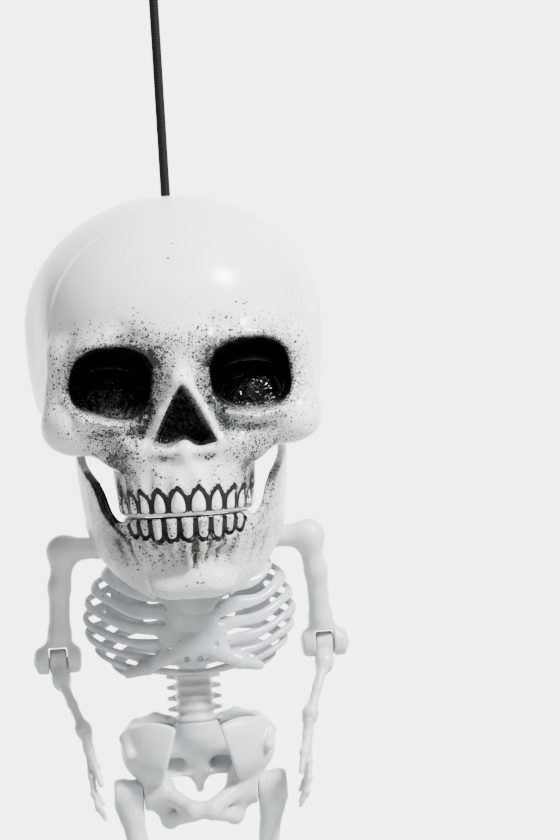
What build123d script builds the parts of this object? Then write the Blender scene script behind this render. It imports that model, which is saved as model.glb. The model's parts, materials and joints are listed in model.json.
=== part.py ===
from build123d import *
import math
import os

# A hanging skeleton figure: an oversized skull on a small body, held by a cord.
# The origin is the inside top of the hanging loop, +Z is up, the face looks
# towards -Y and the figure's left is +X. Millimetres.

# ---------------------------------------------------------------- driving sizes
crown_drop = 125.0          # hanging point down to the crown
skull_width = 120.0
skull_length = 135.0
vault_height = 102.0
shell_wall = 2.4
running_gap = 0.05          # radial play of a pin that turns
face_gap = 0.35             # between faces that move past each other
pin_radius = 1.5            # jaw, elbow and knee pins
hip_pin_radius = 1.8

cord_radius = 2.0
loop_radius = 9.0           # centreline of the loop's round top

jaw_opening = (0.0, -87.8)  # hinge axis: y and height under the crown

neck_y = 34.0
socket_bottom = -98.0       # the neck turns against this face
peg_radius = 3.5
peg_head_radius = 6.0
peg_head_top = -118.5
shoulder = (52.0, 17.0, -141.0)
elbow = (56.0, 28.0, -188.0)
wrist = (46.0, 11.0, -219.0)
fingertip = (42.5, 5.0, -252.0)
hip = (30.0, 20.5, -245.0)
knee = (20.0, 21.0, -309.0)
ankle = (16.5, 29.0, -369.0)

spine_top = -141.0
ribs_bottom = -196.0
lumbar_bottom = -217.0


# ---------------------------------------------------------------------- helpers
def ellipsoid(centre, sizes):
    return Pos(*centre) * scale(Sphere(1), by=sizes)


def block(low, high):
    size = [abs(b - a) for a, b in zip(low, high)]
    middle = [(a + b) / 2 for a, b in zip(low, high)]
    return Pos(*middle) * Box(*size)


def bar(start, end, r_start, r_end=None):
    """A round bar from start to end, flat ended, which may taper."""
    r_end = r_start if r_end is None else r_end
    along = Vector(*end) - Vector(*start)
    place = Plane(origin=start, z_dir=along).location
    base = (Align.CENTER, Align.CENTER, Align.MIN)
    if abs(r_start - r_end) < 1e-6:
        return place * Cylinder(r_start, along.length, align=base)
    return place * Cone(r_start, r_end, along.length, align=base)


def bone(start, end, r_start, r_end=None):
    """A bar with a ball on each end."""
    r_end = r_start if r_end is None else r_end
    balls = [Pos(*start) * Sphere(r_start), Pos(*end) * Sphere(r_end)]
    return bar(start, end, r_start, r_end) + balls


def across(centre, radius, width):
    """A cylinder along X, centred on its point."""
    return Pos(*centre) * Rot(0, 90, 0) * Cylinder(radius, width)


def on_side(point, side):
    return (point[0] * side, point[1], point[2])


def between(a, b, share):
    return tuple(p + (q - p) * share for p, q in zip(a, b))


def shifted(point, dx=0.0, dy=0.0, dz=0.0):
    return (point[0] + dx, point[1] + dy, point[2] + dz)


# ------------------------------------------------------------------------ skull
vault_centre = (0, 0, -vault_height / 2)
vault_sizes = (skull_width / 2, skull_length / 2, vault_height / 2)
vault_stretch = (1, skull_length / skull_width, vault_height / skull_width)
rim_drop = -84.0            # where the base plate meets the shell
rim_front = -20.0           # the base plate lies behind this
eye_out = 28.5              # an eye socket's centre from the middle
eye_drop = -73.0
nose_corners = ((0, -77), (-11, -100.5), (11, -100.5))
teeth_line = -129.0
boss_depth = 5.0            # flat boss under the crown for the cord's washer


def shrunk(sizes, by):
    return tuple(s - by for s in sizes)


def on_ball(x, y, z):
    """A point of the skull in the space where the vault is a ball."""
    return (x, y / vault_stretch[1], (z - vault_centre[2]) / vault_stretch[2])


def face_forms(inset=0.0):
    """The vault and face as simple forms; inset shrinks them for the hollow."""
    floor = on_ball(0, 0, teeth_line + inset)[2]
    ceiling = on_ball(0, 0, -80)[2]
    maxilla = extrude(Ellipse(26.5 - inset, 25.8 - inset), amount=ceiling - floor)
    forms = [
        Rot(0, 0, 90) * Sphere(skull_width / 2 - inset),
        bone(on_ball(-25, -43, -67), on_ball(25, -43, -67), 17.5 - inset),
        Pos(*on_ball(0, -28, 0)[:2], floor) * maxilla,
    ]
    for side in (1, -1):
        low = on_ball(side * 37, -41, -100)
        high = on_ball(side * 35, -41, -84)
        forms.append(bone(low, high, 14.5 - inset, 15.5 - inset))
    return forms


def socket_post(side, inset, back):
    """An oval post running forward from an eye socket's back."""
    place = Plane.XZ.offset(-on_ball(0, back, 0)[1]).location
    x, _, z = on_ball(side * eye_out, 0, eye_drop)
    outline = Ellipse(17.9 - inset, 17.2 - inset)
    return place * Pos(x, z, 0) * extrude(outline, 45)


def nose_post(grow, back):
    place = Plane.XZ.offset(-on_ball(0, back, 0)[1])
    corners = [(x, on_ball(0, 0, z)[2]) for x, z in nose_corners]
    outline = offset(make_face(Polyline(*corners, close=True)), grow)
    return extrude(place * outline, 45)


def make_cranium():
    forms = face_forms()
    forms.append(bone(on_ball(0, -58, -64), on_ball(0, -65.5, -77), 5, 4.5))
    hollows = face_forms(shell_wall)
    outer = forms[0].fuse(*forms[1:])
    shell = outer - hollows[0].fuse(*hollows[1:])
    cups = [socket_post(side, 0, -39) & outer for side in (1, -1)]
    cups.append(nose_post(2.2, -42) & outer)
    shell = shell.fuse(*cups)
    for side in (1, -1):
        shell = shell - socket_post(side, shell_wall, -42)
    shell = shell - nose_post(0, -45)
    low = on_ball(-80, rim_front, -150)
    high = on_ball(80, 90, rim_drop)
    shell = shell - block(low, high)
    shell = shell.solids().sort_by(SortBy.VOLUME)[-1]
    roof = on_ball(0, 0, -boss_depth)[2]
    shell = shell + bar((0, 0, roof), (0, 0, roof + 4), 8.5)
    for side in (1, -1):
        cheek = on_ball(side * 44, -34, -93)
        temple = on_ball(side * 45.5, -12, -86)
        shell = shell + bone(cheek, temple, 4.0, 3.4)
    shell = Pos(*vault_centre) * scale(shell, by=vault_stretch)
    return shell - bar((0, 0, -20), (0, 0, 5), cord_radius + 0.3)


def make_base_plate():
    inset = 1.6
    outer = ellipsoid(vault_centre, shrunk(vault_sizes, inset))
    inner = ellipsoid(vault_centre, shrunk(vault_sizes, inset + 2.6))
    front = rim_front + 0.05
    dish = (outer - inner) & block((-80, front, -140), (80, 90, rim_drop))
    ring = block((-39, front, -86.4), (39, 44, rim_drop)) & outer
    ring = ring - block((-35, front + 3, -90), (35, 38, -80))
    plate = dish + ring + bar((0, neck_y, socket_bottom), (0, neck_y, -86), 7.5)
    for side in (1, -1):
        ear = block(on_side((40, -12, -100), side), on_side((60, 12, -80), side))
        pad = bar((side * 30, *jaw_opening), (side * 39.5, *jaw_opening), 3.4)
        plate = plate - ear + pad
    plate = plate - bar((0, neck_y, -120), (0, neck_y, -80), peg_radius)
    return plate - across((0, *jaw_opening), pin_radius, 100)


def make_mandible():
    """A horseshoe whose sides rise to the hinge and draw in towards the chin."""
    hinge_y, hinge_z = jaw_opening
    levels = (
        (45.0, 56.5, hinge_z + 5), (43.4, 56.5, -110.0), (41.0, 56.5, teeth_line + 2),
        (37.0, 49.0, -150.0), (29.0, 41.5, -166.0),
    )

    def horseshoe(rings, shrink):
        outlines = [Pos(0, 0, z) * Ellipse(a - shrink, b - shrink) for a, b, z in rings]
        return loft(outlines, ruled=True)

    def inside_profile(solid, points):
        return solid & extrude(Plane.YZ * make_face(Polyline(*points, close=True)), 60, both=True)

    top = teeth_line - face_gap
    body = horseshoe(levels[2:], 0) - horseshoe(levels[2:], 5.5)
    body = inside_profile(body, ((-60, top), (3, top), (3, -135), (-36, -163), (-60, -163)))
    ramus = horseshoe(levels[:4], 0) - horseshoe(levels[:4], 4.0)
    ramus = inside_profile(ramus, (
        (-37, -140), (-36, -129), (-31, -118), (-26, -111), (-12, -105), (-5, -98),
        (-3, hinge_z), (-2.2, hinge_z + 2.4), (0, hinge_z + 3.2), (2.2, hinge_z + 2.4),
        (3, hinge_z), (3.2, -110), (3, -137), (-12, -146),
    ))
    return body + ramus - across((0, *jaw_opening), pin_radius + running_gap, 120)


def make_jaw_pin(side):
    y, z = jaw_opening
    pin = bar((side * 33.0, y, z), (side * 45.4, y, z), pin_radius)
    return pin + bar((side * 45.4, y, z), (side * 46.4, y, z), 2.4)


# ------------------------------------------------------------------------- cord
washer_top = -boss_depth
washer_thick = 1.2
knot_top = washer_top - washer_thick
knot_bottom = knot_top - 8.0
loop_knot_bottom = 88.0     # above the crown
loop_knot_height = 9.0


def barrel(bottom, height, radius):
    """A tied knot as a bulging barrel, flat where the cord leaves it."""
    end = radius * 0.62
    outline = Polyline((0, bottom), (end, bottom)) + Spline(
        (end, bottom), (radius, bottom + height / 2), (end, bottom + height)
    ) + Polyline((end, bottom + height), (0, bottom + height), (0, bottom))
    return revolve(Plane.XZ * make_face(outline), Axis.Z)


def make_cord_loop():
    """An eye from the knot's top, round the hanging point and back."""
    start = loop_knot_bottom + loop_knot_height
    round_z = crown_drop - loop_radius + cord_radius
    foot = 2.4
    top = Rot(90, 0, 0) * Torus(loop_radius, cord_radius)
    loop = Pos(0, 0, round_z) * (top & block((-20, -5, 0), (20, 5, 20)))
    for s in (1, -1):
        shoulder_point = (s * loop_radius, 0, round_z)
        leg = bar((s * foot, 0, start - 4), shoulder_point, cord_radius)
        loop = loop + leg + Pos(*shoulder_point) * Sphere(cord_radius)
    return loop - block((-20, -20, start - 9), (20, 20, start))


def make_cord():
    return bar((0, 0, knot_top), (0, 0, loop_knot_bottom), cord_radius)


def make_washer():
    ring = bar((0, 0, knot_top), (0, 0, washer_top), 7.5)
    return ring - bar((0, 0, knot_top - 1), (0, 0, 0), cord_radius + 0.2)


# ------------------------------------------------------------------------- neck
collar_top = socket_bottom - face_gap
knob_bottom = -109.5


def make_neck_peg():
    shank = bar((0, neck_y, -88), (0, neck_y, peg_head_top - 3), peg_radius)
    head = bar((0, neck_y, peg_head_top - 3), (0, neck_y, peg_head_top), peg_head_radius)
    return shank + head


def make_cervical_spine():
    knob = extrude(Ellipse(19, 17), amount=collar_top - knob_bottom)
    knob = Pos(0, neck_y + 4, knob_bottom) * fillet(knob.edges(), 5)
    neck = bar((0, neck_y, spine_top), (0, neck_y, -104), 8.5)
    rings = [
        Pos(0, neck_y, z) * ellipsoid((0, 0, 0), (10.5, 9.5, 3.2))
        for z in (-120, -127, -134)
    ]
    spines = [
        bone((0, neck_y + 6, z), (0, neck_y + 11.5, z - 4), 1.9, 1.3)
        for z in (-120, -127, -134)
    ]
    spine = knob + neck + rings + spines
    chamber = bar((0, neck_y, peg_head_top - 3 - face_gap),
                  (0, neck_y, peg_head_top + face_gap), peg_head_radius + 0.3)
    spine = spine - chamber
    spine = spine - block((-30, -30, -160), (30, 80, spine_top))
    bore = bar((0, neck_y, peg_head_top - 1), (0, neck_y, -80), peg_radius + running_gap)
    return spine - bore


# ------------------------------------------------------------------------ torso
rib_centre = (0, 24.5, -171)
rib_sizes = (45.0, 19.0, 33.0)
rib_wall = 2.8
rib_thick = 3.4
rib_pitch = 7.3
rib_count = 7
rib_slope = 27.0            # the ribs fall towards the front
rib_first = 21.5            # first rib above the cage's centre
rib_top = -147.0
girdle_z = shoulder[2]
socket_reach = 30.0         # outer face of a shoulder socket
stub_radius = 3.0


def make_rib_halves():
    """The cage is worked out on a ball, then drawn out to its real form."""
    ball = rib_sizes[2]
    stretch = (rib_sizes[0] / ball, rib_sizes[1] / ball, 1)
    top = rib_top - rib_centre[2]
    bottom = ribs_bottom - rib_centre[2]
    shell = Sphere(ball) - Sphere(ball - rib_wall / 0.8)
    shell = shell & block((-50, -50, bottom), (50, 50, top))
    slope = math.degrees(math.atan(math.tan(math.radians(rib_slope)) * stretch[1]))
    bands = [
        Pos(0, 0, rib_first - i * rib_pitch) * Rot(slope, 0, 0) * Box(100, 100, rib_thick)
        for i in range(rib_count)
    ]
    bands.append(block((-5, -50, bottom), (5, 50, top)))
    bands.append(block((-50, -4, bottom), (50, 4, top)))
    solid_bands = bands[0].fuse(*bands[1:])
    cage = shell & solid_bands
    halves = []
    for low, high in ((-50, -0.03), (0, 50)):
        half = cage & block((-50, low, -50), (50, high, 50))
        halves.append(Pos(*rib_centre) * scale(half, by=stretch))
    return halves


def make_rib_cage_back(back):
    column = bar((0, neck_y, spine_top), (0, neck_y - 5, ribs_bottom), 6.0)
    column = column & block((-20, 0, ribs_bottom), (20, 80, spine_top))
    web = block((-4, neck_y - 4, ribs_bottom), (4, 41, -150))
    web = web & ellipsoid(rib_centre, rib_sizes)
    y = shoulder[1]
    girdle = [
        bar((s * 12, y, girdle_z), (s * socket_reach, y, girdle_z), 5.2) for s in (1, -1)
    ]
    yoke = block((-16, y - 3, girdle_z - 4), (16, neck_y, girdle_z - 0.02))
    yoke = yoke + block((-16, y - 4.5, girdle_z - 4), (16, y + 4.5, girdle_z + 3.5))
    blades = [
        bone((s * 22, y + 6, girdle_z - 4), (s * 21, 36, -165), 3.0, 2.6) for s in (1, -1)
    ]
    struts = [
        bone((s * 21, y, girdle_z), (s * 22, y + 6, girdle_z - 4), 4.5, 3.4)
        for s in (1, -1)
    ]
    spines = [
        bone((0, 40, z), (0, 44, z - 4), 1.8, 1.2) for z in (-152, -160, -168, -176)
    ]
    body = back + column + web + girdle + yoke + blades + struts + spines
    body = body - block((-20, neck_y - 12, spine_top), (20, 60, -130))
    for s in (1, -1):
        bore = bar((s * 15.5, y, girdle_z), (s * 40, y, girdle_z), stub_radius + running_gap)
        body = body - bore
    return body


def make_lumbar_spine():
    top = (0, neck_y - 5, ribs_bottom)
    bottom = (0, 27, lumbar_bottom)
    column = bar(top, bottom, 7.6)
    column = column + bar(between(top, bottom, -0.1), between(top, bottom, 1.1), 7.6)
    for i in range(4):
        z = ribs_bottom - 3.5 - i * 4.8
        column = column + bone((0, 33, z), (0, 41.5, z - 1.5), 1.7, 1.1)
        for s in (1, -1):
            column = column + bone((s * 5, 28, z), (s * 11, 30, z - 1), 1.5, 1.0)
    return column & block((-30, 0, lumbar_bottom), (30, 60, ribs_bottom))


hip_face = 23.6             # outer face of a hip socket
pelvis_centre = (0, 20, -226)
pelvis_sizes = (33.0, 20.0, 21.0)


def make_pelvis():
    ball = pelvis_sizes[1]
    bowl = Sphere(ball) - Pos(0, -0.6, 1.6) * Sphere(ball - 2.2)
    bowl = bowl & block((-30, -30, -11), (30, 30, 11))
    bowl = bowl - block((-9, -30, -30), (9, 1, 30)) - Pos(0, -3, -10) * Cylinder(6, 16)
    stretch = tuple(size / ball for size in pelvis_sizes)
    bowl = Pos(*pelvis_centre) * scale(bowl, by=stretch)
    frame = [
        bone((0, 27, -222), (0, 34, -240), 7.5, 4.5),
        bar((0, 27, lumbar_bottom - 6), (0, 27, lumbar_bottom), 7.6),
        bone((-4, 6, -252), (4, 6, -252), 3.0),
    ]
    holes = [block((-9, 10, lumbar_bottom), (9, 50, -200))]
    for s in (1, -1):
        socket = on_side((hip_face - 7, hip[1], hip[2]), s)
        face = on_side((hip_face, hip[1], hip[2]), s)
        beyond = on_side((hip_face + 20, hip[1], hip[2]), s)
        pubis = on_side((4, 6, -252), s)
        ischium = on_side((13, 19, -257), s)
        frame += [
            bar(socket, face, 7.2),
            bone(on_side((22, 21, -228), s), socket, 5.2, 6.0),
            bone(socket, pubis, 4.4, 3.0),
            bone(socket, ischium, 4.8, 3.6),
            bone(ischium, pubis, 3.2, 2.6),
            bone(on_side((20, 27, -232), s), (0, 32, -232), 4.4, 5.0),
        ]
        holes += [bar(face, beyond, 9), bar(socket, beyond, hip_pin_radius)]
    frame = frame[0].fuse(*frame[1:])
    for hole in holes:
        frame = frame - hole
        bowl = bowl - hole
    return frame + bowl


# ------------------------------------------------------------------------ limbs


def fork(centre, radius, width, slot, arm_to, arm_radius):
    """A hinge fork on the end of a limb; returns the solid and its slot."""
    body = across(centre, radius, width)
    neck = bone(between(arm_to, centre, 0.5), between(arm_to, centre, 0.86),
                arm_radius, radius * 0.92)
    gap = block(shifted(centre, -slot / 2, -40, -30),
                shifted(centre, slot / 2, 40, radius + face_gap))
    return body + neck, gap


def make_upper_arm():
    stub = bar((16.0, *shoulder[1:]), (socket_reach + 0.5, *shoulder[1:]), stub_radius)
    neck = bar((socket_reach + face_gap, *shoulder[1:]), (shoulder[0] - 1, *shoulder[1:]), 4.2)
    head = Pos(*shoulder) * Sphere(5.0)
    shaft = bone(shoulder, between(shoulder, elbow, 0.85), 4.2, 4.0)
    body, gap = fork(elbow, 5.4, 18.5, 8.0, shoulder, 4.0)
    arm = stub + neck + head + shaft + body - gap
    return arm - across(elbow, pin_radius, 40)


def make_forearm():
    tang = across(elbow, 5.0, 8.0 - 2 * face_gap)
    near = (elbow[0] - 0.4, *between(elbow, wrist, 0.28)[1:])
    far = between(elbow, wrist, 0.92)
    neck = bone(elbow, near, 3.5, 3.5)
    radius_bone = bone(shifted(near, dy=1.6), shifted(far, dy=2.0), 2.4, 2.2)
    ulna = bone(shifted(near, dy=-1.6), shifted(far, dy=-2.6), 2.4, 2.2)
    block_end = bone(between(elbow, wrist, 0.86), wrist, 3.6, 3.2)
    arm = tang + neck + radius_bone + ulna + block_end
    arm = arm - across(elbow, pin_radius + running_gap, 40)
    along = Vector(*wrist) - Vector(*elbow)
    beyond = Plane(origin=wrist, z_dir=along).location * Pos(0, 0, 5) * Box(30, 30, 10)
    return arm - beyond


def make_hand():
    along = (Vector(*fingertip) - Vector(*wrist)).normalized()
    palm_end = between(wrist, fingertip, 0.45)
    palm = [
        bone(between(wrist, fingertip, 0.08), shifted(palm_end, dy=dy), 2.4, 2.0)
        for dy in (-5.0, -1.8, 1.6, 5.0)
    ]
    hand = bone(wrist, between(wrist, fingertip, 0.12), 3.4, 3.0) + palm
    for dy, reach in ((-5.4, 0.93), (-1.9, 1.0), (1.7, 0.96), (5.2, 0.84)):
        middle = shifted(between(wrist, fingertip, 0.45 + (reach - 0.45) * 0.5), dy=dy * 1.15)
        tip = shifted(between(wrist, fingertip, reach), dx=-1.6, dy=dy)
        hand = hand + bone(shifted(palm_end, dy=dy), middle, 1.5, 1.4)
        hand = hand + bone(middle, tip, 1.4, 1.1)
    thumb = shifted(between(wrist, fingertip, 0.5), dx=-2.6, dy=-9.5)
    hand = hand + bone(between(wrist, fingertip, 0.15), thumb, 1.9, 1.4)
    behind = Plane(origin=wrist, z_dir=Vector(*wrist) - Vector(*elbow)).location
    return hand - behind * Pos(0, 0, -5) * Box(30, 30, 10)


def make_thigh():
    inner = (hip_face + face_gap, *hip[1:])
    outer = (36.0, *hip[1:])
    knob = bar(inner, outer, 6.2)
    shaft = bone(shifted(hip, dx=0.6), between(hip, knee, 0.86), 5.2, 5.0)
    body, gap = fork(knee, 6.2, 20.5, 9.0, hip, 5.0)
    condyles = bone(shifted(knee, dx=-6.5, dz=8.5), shifted(knee, dx=6.5, dz=8.5), 4.0)
    thigh = knob + shaft + body + condyles - gap
    pelvis_side = block((-10, -30, -258), (hip_face + face_gap, 60, -225))
    thigh = thigh - across(knee, pin_radius, 50) - pelvis_side
    return thigh - bar((20, *hip[1:]), (34.5, *hip[1:]), hip_pin_radius + running_gap) \
        - bar((34.0, *hip[1:]), (37, *hip[1:]), 3.4)


def make_hip_pin():
    pin = bar((hip_face - 9, *hip[1:]), (34.2, *hip[1:]), hip_pin_radius)
    return pin + bar((34.2, *hip[1:]), (35.6, *hip[1:]), 3.1)


def make_shin():
    tang = across(knee, 5.8, 9.0 - 2 * face_gap)
    near = between(knee, ankle, 0.22)
    far = between(knee, ankle, 0.9)
    neck = bone(knee, near, 4.1, 4.1)
    tibia = bone(shifted(near, dx=-1.6), shifted(far, dx=-1.6), 4.0, 3.4)
    fibula = bone(shifted(near, dx=4.0, dy=1.5), shifted(far, dx=3.6, dy=1.5), 2.3, 2.2)
    plateau = bone(shifted(near, dx=-6), shifted(near, dx=6), 4.0)
    end = bone(between(knee, ankle, 0.88), ankle, 4.8, 4.6)
    shin = tang + neck + tibia + fibula + plateau + end
    shin = shin - block((-60, -60, ankle[2] - 20), (60, 100, ankle[2]))
    return shin - across(knee, pin_radius + running_gap, 50)


def make_foot():
    heel = (ankle[0] + 1.2, 38.0, -384.5)
    ball = (ankle[0] + 2.8, 8.0, -391.5)
    talus = shifted(ankle, dy=2, dz=-9)
    pieces = [
        bone(ankle, talus, 5.4, 6.0),
        bone(talus, heel, 5.9, 5.5),
        bone(talus, between(ankle, ball, 0.6), 5.8, 4.2),
    ]
    for i, reach in enumerate((1.0, 0.98, 0.88, 0.76, 0.62)):
        spread = i - 2
        thick = 2.3 if i == 0 else 1.8
        knuckle = shifted(ball, dx=spread * 3.4, dy=1.2 * i)
        toe = (knuckle[0] + spread * 0.6, ball[1] - 13.5 * reach, -397.2 + thick)
        pieces.append(bone(between(ankle, ball, 0.45), knuckle, 2.6, thick + 0.1))
        pieces.append(bone(knuckle, toe, thick, thick * 0.8))
    foot = pieces[0].fuse(*pieces[1:])
    return foot - block((-60, -60, ankle[2]), (60, 100, ankle[2] + 20))


def make_hinge_pin(centre, width):
    shank = across(centre, pin_radius, width)
    head = across(shifted(centre, dx=width / 2 + 0.5), 2.6, 1.0)
    return shank + head


# --------------------------------------------------------------------- assembly
def build_all():
    front, back = make_rib_halves()
    nodes = {
        "cranium_shell": make_cranium(),
        "skull_base_plate": make_base_plate(),
        "mandible": make_mandible(),
        "hanging_cord": make_cord(),
        "cord_loop": make_cord_loop(),
        "loop_knot": barrel(loop_knot_bottom, loop_knot_height, 5.0),
        "cord_knot": barrel(knot_bottom, knot_top - knot_bottom, 4.6),
        "cord_washer": make_washer(),
        "neck_peg": make_neck_peg(),
        "cervical_spine": make_cervical_spine(),
        "rib_cage_front": front,
        "rib_cage_back": make_rib_cage_back(back),
        "lumbar_spine": make_lumbar_spine(),
        "pelvis": make_pelvis(),
    }
    limb = {
        "upper_arm": make_upper_arm(),
        "forearm": make_forearm(),
        "hand": make_hand(),
        "elbow_pin": make_hinge_pin(elbow, 18.5),
        "thigh": make_thigh(),
        "shin": make_shin(),
        "foot": make_foot(),
        "hip_pin": make_hip_pin(),
        "knee_pin": make_hinge_pin(knee, 20.5),
    }
    for name, solid in limb.items():
        nodes[f"{name}_left"] = solid
        nodes[f"{name}_right"] = mirror(solid, about=Plane.YZ)
    for name, side in (("left", 1), ("right", -1)):
        nodes[f"jaw_pin_{name}"] = make_jaw_pin(side)
    return nodes


os.makedirs("parts", exist_ok=True)
for node, solid in build_all().items():
    placed = Pos(0, 0, -crown_drop) * solid
    export_step(placed, f"parts/{node}.step")
cord_length = loop_knot_bottom - knot_top
print(f"cord: one straight run of {cord_length:.1f} mm, radius {cord_radius} mm, no arcs")
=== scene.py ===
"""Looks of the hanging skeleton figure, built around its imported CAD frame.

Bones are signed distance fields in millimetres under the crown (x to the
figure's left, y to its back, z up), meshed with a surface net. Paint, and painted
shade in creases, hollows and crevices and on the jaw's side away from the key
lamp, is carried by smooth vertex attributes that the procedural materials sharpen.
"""
import json
import math
from functools import partial

import bmesh
import bpy
import numpy as np
from mathutils import Matrix, Vector


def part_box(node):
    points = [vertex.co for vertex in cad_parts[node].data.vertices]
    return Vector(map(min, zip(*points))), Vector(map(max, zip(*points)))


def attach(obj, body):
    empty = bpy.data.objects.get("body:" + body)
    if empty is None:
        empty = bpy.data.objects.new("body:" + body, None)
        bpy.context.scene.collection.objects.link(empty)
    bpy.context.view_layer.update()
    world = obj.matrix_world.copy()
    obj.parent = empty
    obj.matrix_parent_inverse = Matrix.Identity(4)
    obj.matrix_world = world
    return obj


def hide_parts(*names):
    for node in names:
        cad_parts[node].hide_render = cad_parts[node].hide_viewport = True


MM = 0.001

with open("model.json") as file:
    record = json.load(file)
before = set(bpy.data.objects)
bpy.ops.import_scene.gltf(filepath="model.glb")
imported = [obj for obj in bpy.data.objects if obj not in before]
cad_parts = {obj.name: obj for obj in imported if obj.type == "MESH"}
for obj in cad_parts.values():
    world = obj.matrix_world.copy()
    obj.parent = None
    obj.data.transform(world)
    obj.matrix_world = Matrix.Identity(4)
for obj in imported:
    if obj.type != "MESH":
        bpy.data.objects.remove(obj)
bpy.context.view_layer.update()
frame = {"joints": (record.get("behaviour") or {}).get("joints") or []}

# ---------------------------------------------------------------- sizes from CAD
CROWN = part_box("cranium_shell")[1].z / MM        # height of the crown, mm
JOINTS = {j["name"]: j for j in frame["joints"]}


def joint_point(name):
    """A joint's place in the bones' millimetres."""
    x, y, z = JOINTS[name]["pos_m"]
    return np.array((x / MM, y / MM, z / MM - CROWN))


def node_box(node):
    """A CAD node's low and high corner in the bones' millimetres."""
    low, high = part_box(node)
    return [np.array((p.x / MM, p.y / MM, p.z / MM - CROWN)) for p in (low, high)]


JAW_HINGE = joint_point("jaw_hinge")
NECK_Y = joint_point("neck_turn")[1]
SHOULDER = joint_point("left_shoulder")
ELBOW = joint_point("left_elbow")
HIP = joint_point("left_hip")
KNEE = joint_point("left_knee")

PIN_RADIUS = 1.5             # jaw, elbow and knee pins
PIN_HOLE = 1.56              # a hole that turns on such a pin
HIP_PIN_RADIUS = 1.8

FINE = 0.55                  # grid step of small bones, mm
SKULL_STEP = 0.7


# -------------------------------------------------------------------- the fields
def smooth_min(a, b, k):
    """The smaller value, rounded where the two come within k of each other."""
    if k <= 0:
        return np.minimum(a, b)
    h = np.maximum(k - np.abs(a - b), 0) / k
    return np.minimum(a, b) - h * h * (k / 4)


def smooth_max(a, b, k):
    return -smooth_min(-a, -b, k)


def smooth_step(a, b, v):
    """A smooth rise from 0 where v is a to 1 where v is b."""
    t = np.clip((v - a) / (b - a), 0, 1)
    return t * t * (3 - 2 * t)


def turn(rx=0.0, ry=0.0, rz=0.0):
    """A rotation matrix from degrees about X, then Y, then Z."""
    cx, sx = math.cos(math.radians(rx)), math.sin(math.radians(rx))
    cy, sy = math.cos(math.radians(ry)), math.sin(math.radians(ry))
    cz, sz = math.cos(math.radians(rz)), math.sin(math.radians(rz))
    about_x = np.array(((1, 0, 0), (0, cx, -sx), (0, sx, cx)))
    about_y = np.array(((cy, 0, sy), (0, 1, 0), (-sy, 0, cy)))
    about_z = np.array(((cz, -sz, 0), (sz, cz, 0), (0, 0, 1)))
    return about_z @ about_y @ about_x


def ellipsoid(p, radii):
    """About how far a point, given from the middle, is outside an ellipsoid."""
    q = [v / r for v, r in zip(p, radii)]
    k0 = np.sqrt(sum(v ** 2 for v in q))
    k1 = np.sqrt(sum((v / r) ** 2 for v, r in zip(q, radii)))
    return k0 * (k0 - 1) / np.maximum(k1, 1e-6)


def from_middle(x, y, z, centre, rot):
    """Places from a shape's middle, along its own axes where it is turned."""
    p = (x - centre[0], y - centre[1], z - centre[2])
    if rot is None:
        return p
    return [sum(rot[j][i] * p[j] for j in range(3)) for i in range(3)]


class Shape:
    """A distance function with the box that holds its surface."""

    def __init__(self, low, high, distance):
        self.low, self.high = np.array(low, float), np.array(high, float)
        self.distance = distance


def egg(centre, radii, rot=None):
    """An ellipsoid, which may be turned."""
    reach = max(radii) if rot is not None else np.array(radii)

    def distance(x, y, z):
        return ellipsoid(from_middle(x, y, z, centre, rot), radii)

    return Shape(np.array(centre) - reach, np.array(centre) + reach, distance)


def rod(a, b, ra, rb=None, flat=None):
    """A round bone from a to b; flat squeezes it along one axis."""
    rb = ra if rb is None else rb
    a, b = np.array(a, float), np.array(b, float)
    ab = b - a
    length2 = float(ab @ ab) + 1e-9
    scale = np.ones(3) if flat is None else np.array(flat, float)

    def distance(x, y, z):
        px, py, pz = x - a[0], y - a[1], z - a[2]
        t = np.clip((px * ab[0] + py * ab[1] + pz * ab[2]) / length2, 0, 1)
        dx = (px - t * ab[0]) / scale[0]
        dy = (py - t * ab[1]) / scale[1]
        dz = (pz - t * ab[2]) / scale[2]
        d = np.sqrt(dx * dx + dy * dy + dz * dz)
        return (d - (ra + (rb - ra) * t)) * min(scale)

    reach = max(ra, rb) * scale
    return Shape(np.minimum(a, b) - reach, np.maximum(a, b) + reach, distance)


def slab(centre, half, rot=None, soft=1.0):
    """A box with rounded edges, which may be turned."""
    centre, half = np.array(centre, float), np.array(half, float)
    reach = np.linalg.norm(half) if rot is not None else half

    def distance(x, y, z):
        p = from_middle(x, y, z, centre, rot)
        q = [np.abs(v) - (h - soft) for v, h in zip(p, half)]
        outside = np.sqrt(sum(np.maximum(v, 0) ** 2 for v in q))
        return outside + np.minimum(np.maximum(np.maximum(q[0], q[1]), q[2]), 0) - soft

    return Shape(centre - reach, centre + reach, distance)


def block(centre, half):
    """A box with crisp edges, for trimming."""
    return slab(centre, half, None, 0.1)


def bore(centre, radius, reach=20):
    """A round hole across the figure, for a pin."""
    cx, cy, cz = centre
    return rod((cx - reach, cy, cz), (cx + reach, cy, cz), radius)


def path_rods(points, radii, flat=None):
    """A bent bone: rods through the points with the given radii."""
    pairs = zip(points[:-1], points[1:], radii[:-1], radii[1:])
    return [rod(a, b, ra, rb, flat) for a, b, ra, rb in pairs]


FAR = 60.0                   # distance that an empty grid starts from, mm


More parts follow.
